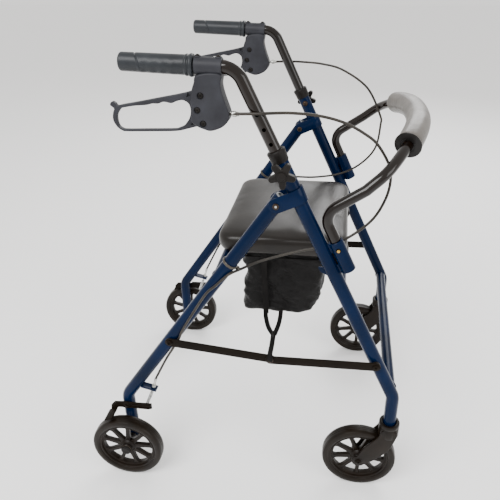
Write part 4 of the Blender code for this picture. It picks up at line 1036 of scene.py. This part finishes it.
# ---- backrest ----
def backrest():
    """Bent bar from sleeve to sleeve, its foam pad, and the disc at the pad's right end."""
    low_z = SLEEVE_LOW_Z + 0.004
    foot = (sleeve_x(low_z), HALF_TRACK, low_z)
    shoulder = (0.212, HALF_TRACK, 0.677)
    lower = fillet([foot, (0.1442, HALF_TRACK, 0.6318), shoulder], 0.03, 12)
    half_top = [shoulder, (0.2454, 0.206, 0.7052), (0.277, 0.15, 0.7305), (0.299, 0.075, 0.7425)]
    upper = spline(half_top + [(0.306, 0.0, 0.7435)] + [(x, -y, z) for x, y, z in half_top[::-1]],
        0.006, per=24)
    right = [Vector((p.x, -p.y, p.z)) for p in lower[-2::-1]]
    bar = tube("backrest_bar", lower[:-1] + upper + right, BACK_R, BLACK_GLOSS, 0.008, 40)
    for _, side in SIDES:
        cut(bar, turned("tool", [(0.0034, 0.004), (0.0034, 0.02)],
            across(sleeve_x(BUTTON_Z), BUTTON_Z, HALF_TRACK, side), BLACK_GLOSS, 24))
    put(bar, "front_frame", "black_paint", "backrest_tube")
    pad_line = stretch(upper, PAD_RIGHT_Y + 0.004, PAD_LEFT_Y)
    pad = padded_tube(pad_line)
    put(pad, "front_frame", "grey_foam", "backrest_pad")
    tip, way = pad_line[-1], (pad_line[-1] - pad_line[-2]).normalized()
    disc = hoop("pad_end_right", [(BACK_R + 0.0002, 0.0006), (0.0215, 0.0006), (0.0232, 0.0012),
        (0.0236, 0.0022), (0.0226, 0.0034), (0.015, 0.004), (0.0125, 0.004), (0.012, 0.0032),
        (BACK_R + 0.0002, 0.0032)], axis_place(tip, way), PAD_END, 64)
    put(disc, "front_frame", "black_nylon")


def stretch(path, low, high):
    """The part of a path, which runs from left to right, between two values of Y."""
    out = []
    for a, b in zip(path, path[1:]):
        for limit in (high, low):
            if b.y < limit <= a.y:
                out.append(a.lerp(b, (a.y - limit) / (a.y - b.y)))
        if low < b.y < high:
            out.append(b)
    return sorted(out, key=lambda p: -p.y)


def padded_tube(line):
    """Foam round the bar, drawn in at its left end, its skin swelled by simulation."""
    sizes, run = [], 0.0
    for before, point in zip([line[0]] + line, line):
        run += (point - before).length
        lead = min(0.0, (run - 0.011) / 0.011)
        sizes.append(0.0222 * math.sqrt(max(0.1, 1 - lead ** 2)))
    pad = tube("backrest_foam", line, sizes, FOAM, 0.0, 48)
    return swell(pad, 0.003, 0.0022, 3.0, lambda p: 1.0)


def swell(made, voxel, most, pressure, weight):
    """Cloth under pressure: the form swells, each point by no more than most times its weight."""
    mesh_step(made, "REMESH", mode="VOXEL", voxel_size=voxel)
    before = [(v.co.copy(), v.normal.copy()) for v in made.data.vertices]
    cloth = made.modifiers.new("swell", "CLOTH")
    settings = cloth.settings
    settings.quality, settings.mass = 5, 0.2
    settings.use_pressure, settings.uniform_pressure_force = True, pressure
    settings.tension_stiffness = settings.compression_stiffness = 40
    settings.bending_stiffness = 2.0
    settings.effector_weights.gravity = 0
    cloth.point_cache.frame_start, cloth.point_cache.frame_end = 1, SWELL_FRAMES
    for step in range(1, SWELL_FRAMES + 1):
        bpy.context.scene.frame_set(step)
    bake(made)
    bpy.context.scene.frame_set(1)
    for vertex, (start, out) in zip(made.data.vertices, before):
        move = vertex.co - start
        move -= out * min(0.0, move.dot(out))
        limit = most * weight(start)
        if move.length > limit:
            move = move.normalized() * limit
        vertex.co = start + move
    smooth(made, 7)
    mesh_step(made, "SUBSURF", levels=1)
    made.data.shade_smooth()
    return made


def smooth(made, rounds):
    shape = bmesh.new()
    shape.from_mesh(made.data)
    for _ in range(rounds):
        bmesh.ops.smooth_vert(shape, verts=shape.verts, factor=0.5, use_axis_x=True,
            use_axis_y=True, use_axis_z=True)
    shape.to_mesh(made.data)
    shape.free()


# ---- seat ----
SEAT_REAR, SEAT_FRONT, SEAT_HALF, SEAT_LOW, SEAT_TOP = -0.059, 0.189, 0.155, 0.5118, 0.547


def seat_outline(inset, radius, steps=10, bow=0.0008, runs=(24, 18)):
    """Rounded rectangle drawn in by the inset, its sides pulled in a little between the corners."""
    out = []
    x0, x1, y1 = SEAT_REAR + inset, SEAT_FRONT - inset, SEAT_HALF - inset
    arcs = []
    for cx, cy, first in ((x1 - radius, y1 - radius, 0), (x0 + radius, y1 - radius, 90),
            (x0 + radius, radius - y1, 180), (x1 - radius, radius - y1, 270)):
        arcs.append([Vector((cx + radius * math.cos(a), cy + radius * math.sin(a)))
            for a in (math.radians(first + 90 * k / steps) for k in range(steps + 1))])
    for k, arc in enumerate(arcs):
        a, b, count = arc[-1], arcs[(k + 1) % 4][0], runs[k % 2]
        outward = Vector((b.y - a.y, a.x - b.x)).normalized()
        out += arc + [a.lerp(b, j / count) - outward * bow * math.sin(math.pi * j / count)
            for j in range(1, count)]
    return [(p.x, p.y) for p in out]


def seat():
    """Padded cushion on its board, which hinges on the front bar and rests on the rear one."""
    levels = moved(mm("-5.4 11.2, -4.8 6, -2 2, 6 -0.6, 15 -1.2"), SEAT_LOW)
    levels += moved(mm("-12 -0.8, -6 1.8, -2.8 6, -1.4 13, -1 32, -1 60"), SEAT_TOP)
    shape = bmesh.new()
    skin(shape, [[shape.verts.new((x, y, z)) for x, y in seat_outline(inset, 0.034 - inset * 0.3)]
        for z, inset in levels])
    cushion = keep("seat_cushion_cover", shape, VINYL, 60)
    middle = Vector(((SEAT_REAR + SEAT_FRONT) / 2, 0, 0))

    def loft(point):
        if point.z < SEAT_LOW:
            return 0.0
        u = min(1.0, abs(point.x - middle.x) / (SEAT_FRONT - middle.x))
        v = min(1.0, abs(point.y) / SEAT_HALF)
        return 0.25 + 0.75 * (1 - u ** 4) * (1 - v ** 4)

    swell(cushion, 0.004, 0.0055, 4.0, loft)
    for vertex in cushion.data.vertices:
        vertex.co.z = max(vertex.co.z, SEAT_LOW - 0.0054)
        if vertex.co.z > SEAT_TOP - 0.012:
            vertex.co.z += 0.0006 * noise.noise(vertex.co * 22.0)
    put(cushion, "seat", "seat_vinyl", "seat_cushion")
    board = moved(mm("-5.5 13.5, -4.8 12.2, -0.9 12, -0.3 12.6"), SEAT_LOW)
    shape = bmesh.new()
    skin(shape, [[shape.verts.new((x, y, z)) for x, y in seat_outline(inset, 0.026, 8, 0.0, (2, 2))]
        for z, inset in board])
    pieces = [keep("board", shape, DARK_PLASTIC)]
    low = SEAT_LOW - 0.0055
    for _, side in SIDES:
        loop = [(CROSS_R + 0.0003, -0.0098), (0.014, -0.01), (0.0146, -0.0094), (0.0146, 0.0094),
            (0.014, 0.01), (CROSS_R + 0.0003, 0.0098)]
        pieces.append(hoop("loop", loop, across(SEAT_HINGE_X, SEAT_BAR_Z, 0.09, side),
            DARK_PLASTIC))
        x, top = rear_x(REAR_BAR_Z), low + 0.001
        rest = [(x - 0.008, top), (x + 0.008, top), (x + 0.006, REAR_BAR_Z + CROSS_R + 0.0003),
            (x - 0.006, REAR_BAR_Z + CROSS_R + 0.0003)]
        pieces.append(flat("rest", [rest], side * 0.078, side * 0.102, DARK_PLASTIC, 0.0008))
    put(joined("seat_base", pieces), "seat", "charcoal_plastic", "seat_board")


def ring_tube(name, line, radius, surface):
    """A closed loop of cord lying level, such as the bag's hem."""
    shape = bmesh.new()
    points = [Vector(p) for p in line]
    rings = []
    for k, point in enumerate(points):
        way = (points[(k + 1) % len(points)] - points[k - 1]).normalized()
        out = way.cross(Vector((0, 0, 1))).normalized()
        rings.append([shape.verts.new(point + out * u + Vector((0, 0, v)))
            for u, v in circle(radius, 10)])
    skin(shape, rings + rings[:1], ())
    return keep(name, shape, surface, 80)


# ---- bag and straps ----
BAG_HALF, BAG_TOP = 0.1345, 0.5045
# height, rear edge and front edge of the pouch, top to bottom
BAG_LEVELS = mm("504.5 -17.5 144, 470 -17.5 150, 450 -16 148, 424.8 -15.4 146.2, 408 -17.8 147.6, "
    "393.1 -20 143, 380 -20.2 137, 371.1 -20 129.2, 365 -19.6 120, 361 -18.8 110")


def bag_edges(z):
    """Rear and front of the pouch at a height, on straight lines between the levels."""
    for high, low in zip(BAG_LEVELS, BAG_LEVELS[1:]):
        if low[0] <= z <= high[0]:
            t = (high[0] - z) / (high[0] - low[0])
            return [a + (b - a) * t for a, b in zip(high[1:], low[1:])]
    return BAG_LEVELS[-1][1:]


def bag():
    """Pouch hung between the seat bars, its cloth creased and crumpled, with bands and a hem."""
    shape = bmesh.new()
    rings, levels, around = [], 64, 168
    low = BAG_LEVELS[-1][0]
    for i in range(levels + 1):
        t = i / levels
        z = BAG_TOP + (low - BAG_TOP) * t
        rear, front = bag_edges(z)
        tuck = max(0.0, (t - 0.93) / 0.07)
        half = BAG_HALF - 0.006 * (1 - math.sqrt(max(0.0, 1 - tuck ** 2)))
        ring = []
        for k in range(around):
            x, y = bag_section(2 * math.pi * (k + 0.5) / around, rear, front, half)
            push = crumple(x, y, z) * min(1.0, 5 * t + 0.12)
            out = Vector((x - (rear + front) / 2, y * 0.6)).normalized()
            x, y = x + out.x * push, y + out.y * push
            y = min(max(y, -BAG_HALF - 0.0012), BAG_HALF + 0.0012)
            lift = 0.0035 * (x - rear) / (front - rear) * max(0.0, (t - 0.85) / 0.15)
            ring.append(shape.verts.new((x, y, z + lift)))
        rings.append(ring)
    skin(shape, rings)
    pouch = keep("bag_pouch", shape, NYLON, 80)
    mesh_step(pouch, "SUBSURF", levels=1)
    pouch.data.shade_smooth()
    fit_bag(pouch, "seat_bag")
    for label, side in SIDES:
        line = [(0.03 + 0.003 * k / 25, side * (BAG_HALF + 0.0024),
            BAG_TOP - 0.002 + (0.364 - BAG_TOP) * k / 25) for k in range(26)]
        fit_bag(strap(f"bag_band_{label}", line, 0.011, 0.0012, WEBBING, (0, side, 0)))
    line = []
    rear, front = bag_edges(BAG_TOP - 0.012)
    for k in range(96):
        x, y = bag_section(2 * math.pi * k / 96, rear - 0.001, front + 0.001, BAG_HALF + 0.0008)
        line.append((x, y, BAG_TOP - 0.012))
    fit_bag(ring_tube("bag_hem", line, 0.0016, WEBBING))


def crumple(x, y, z):
    """Height of the cloth's creases: long slanting folds across broad slack ones."""
    broad = noise.noise(Vector((x * 15, y * 15, z * 10))) * 0.007
    slant = Vector((x * 24 + z * 16, y * 24 + z * 10, z * 14 - x * 10))
    ridge = (0.35 - abs(noise.noise(slant)) * 2.4) * 0.0064
    small = (0.35 - abs(noise.noise(slant * 2.6)) * 2.0) * 0.0028
    return broad + ridge + small - 0.0016


def bag_section(turn, rear, front, half_y):
    """A point round the pouch: a rectangle with softly rounded corners."""
    half_x, power = (front - rear) / 2, 14.0
    c, s = math.cos(turn), math.sin(turn)
    radius = (abs(c / half_x) ** power + abs(s / half_y) ** power) ** (-1 / power)
    return c * radius + (rear + front) / 2, s * radius


def fit_bag(made, *nodes):
    """Cloth of the bag, put on the front frame with a mesh of its own."""
    put(made, "front_frame", "black_nylon", *nodes)
    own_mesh(made)


def fold_straps(label, side):
    """Pull webbing: two branches from the bag's side meet at a buckle and run to the brace bolt."""
    m_x, m_z = BRACE_M
    meet = handed("57 206 360.5", side)[0]
    last = [meet, (m_x + 0.0015, side * 0.23, m_z + 0.0285), (m_x, side * 0.244, m_z + 0.019),
        (m_x, side * 0.2478, m_z + 0.0085), (m_x, side * 0.248, m_z + 0.001)]
    single = strap("single", spline(last, 0.003), 0.0095, 0.0013, WEBBING, (0, side, 0))
    rear = handed("32.5 132 372, 33.5 145 360, 44 180 358.5", side) + [meet]
    front = handed("63 131 376, 63.5 140 364, 63 170 360.5, 59 206 361.5", side)
    pieces = [single]
    for name, line in (("rear", rear), ("front", front)):
        pieces.append(strap(name, spline(line, 0.003), 0.009, 0.0012, WEBBING, (0.2, side, 0.2)))
    place = axis_place(meet, Vector(last[1]) - meet)
    buckle = hoop("buckle", mm("7.8 -4, 9 -3, 9 3, 7.8 4, 6.8 3, 6.8 -3"),
        place @ Matrix.Rotation(math.pi / 2, 4, "Y") @ Matrix.Diagonal((1, 0.75, 0.55, 1)),
        DARK_PLASTIC, 40)
    pieces.append(buckle)
    webbing = joined(f"fold_pull_{label}", pieces)
    put(webbing, "front_frame", "black_nylon", f"fold_strap_{label}")
    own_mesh(webbing)


# ---- cables ----
CABLE_LOOPS = {"right": mm("-5 228.5 797, 40 235.8 800.5, 87.9 226 800.3, 133.1 215 794, "
    "171.7 205 781.5, 204 195 762, 226.2 187 742.2, 247.4 178 706, 252.4 178 678.1, 246 184 645.9, "
    "226.8 192 611.2, 191.4 199 580.8, 154.4 202 561.3, 105.4 201 547.5"),
    "left": mm("-5 228.5 797, 40 235.8 797, 72.9 226 797.9, 115.3 215 796.1, 161.3 205 785.7, "
    "216.9 192 750.4, 248.5 178 694.8, 251.4 177 672.5, 244.2 186 615.7, 213 195 572.3, "
    "167.2 201 544.1, 107.2 202 532.1")}
# the loop's point where the cable's upper and lower lengths meet
CABLE_SPLIT = {"right": 10, "left": 9}
CABLE_LEG_RUN = mm("51.7 203 530, 25 208 521.2, -0.9 220 513, -19.5 236.2 509.5, "
    "-44.2 237.8 485.3, -64.1 237.8 464.4, -100 238.2 404.8, -116 236.6 375, -124 233.5 356, "
    "-136.2 232 334, -158 228 296, -186.8 223 238.8")


def cables(label, side):
    """Sheathed cable in two lengths that meet in free space between backrest and seat."""
    route = [(x, side * y, z) for x, y, z in CABLE_LOOPS[label] + CABLE_LEG_RUN]
    points = spline(route, 0.004, per=24)
    meet = Vector(route[CABLE_SPLIT[label]])
    split = min(range(len(points)), key=lambda k: (points[k] - meet).length)
    upper = tube(f"cable_upper_{label}", points[:split + 1], CABLE_R, SHEATH, 0.0, 16)
    lower = tube(f"cable_lower_{label}", points[split:], CABLE_R, SHEATH, 0.0, 16)
    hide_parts(f"brake_cable_{label}")
    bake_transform(upper)
    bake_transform(lower)


def build():
    """Every piece: the shared ones once, the rest once for each side."""
    crossbars()
    backrest()
    seat()
    bag()
    for label, side in SIDES:
        for piece in (front_frame, pivot_bracket, collar_and_knob, rear_frame, handle, housing,
                lever, rear_hardware, caster, braces, fold_straps, cables):
            piece(label, side)
        wheel(f"rear_{label}", REAR_X, side * REAR_WHEEL_Y, f"rear_wheel_{label}",
            (f"rear_rim_{label}", f"rear_tyre_{label}"), 5)
        wheel(f"front_{label}", FRONT_AXLE_X, side * HALF_TRACK, f"front_wheel_{label}",
            (f"front_rim_{label}", f"front_tyre_{label}"), 30)


# ---- camera, floor and light ----
def camera():
    """The photo's view, from the walker's right and looking down."""
    azimuth, down, roll = math.radians(8.12), math.radians(27.908), math.radians(-0.589)
    forward = Vector((-math.sin(azimuth) * math.cos(down), math.cos(azimuth) * math.cos(down),
        -math.sin(down)))
    level = forward.cross(Vector((0, 0, 1))).normalized()
    upright = level.cross(forward)
    right = level * math.cos(roll) + upright * math.sin(roll)
    up = upright * math.cos(roll) - level * math.sin(roll)
    data = bpy.data.cameras.new("camera")
    data.sensor_width, data.lens = 36.0, 39.07
    data.shift_x, data.shift_y = -0.0386, -0.0189
    data.clip_start, data.clip_end = 0.05, 50
    made = link("camera", data)
    turn = Matrix((right, up, -forward)).transposed()
    made.matrix_world = Matrix.Translation((0.1706, -1.0435, 1.0158)) @ turn.to_4x4()
    bpy.context.scene.camera = made


def floor():
    shape = bmesh.new()
    bmesh.ops.create_grid(shape, x_segments=1, y_segments=1, size=12.0)
    mesh = bpy.data.meshes.new("floor")
    shape.to_mesh(mesh)
    shape.free()
    made = link("floor", mesh)
    pale = bpy.data.materials.new("pale_floor")
    pale.use_nodes = True
    sockets = pale.node_tree.nodes["Principled BSDF"].inputs
    sockets["Base Color"].default_value = (0.97, 0.97, 0.97, 1)
    sockets["Roughness"].default_value = 0.6
    mesh.materials.append(pale)


def area_light(name, place, aim, size, power):
    data = bpy.data.lights.new(name, "AREA")
    data.shape, data.size, data.size_y, data.energy = "RECTANGLE", size[0], size[1], power
    made = link(name, data)
    turn = (Vector(aim) - Vector(place)).to_track_quat("-Z", "Y").to_matrix().to_4x4()
    made.matrix_world = Matrix.Translation(place) @ turn


def lights():
    world = bpy.data.worlds.new("studio")
    bpy.context.scene.world = world
    world.use_nodes = True
    sockets = world.node_tree.nodes["Background"].inputs
    sockets["Color"].default_value = (1.0, 0.985, 0.965, 1)
    sockets["Strength"].default_value = 1.25
    area_light("key", (-0.9, -1.7, 2.4), (0, 0, 0.4), (1.6, 1.2), 72)
    area_light("fill", (2.2, -1.2, 1.5), (0, 0, 0.4), (1.4, 1.4), 26)
    area_light("rim", (0.6, 2.4, 2.0), (0, 0, 0.5), (1.8, 1.0), 46)


camera()
floor()
lights()
build()
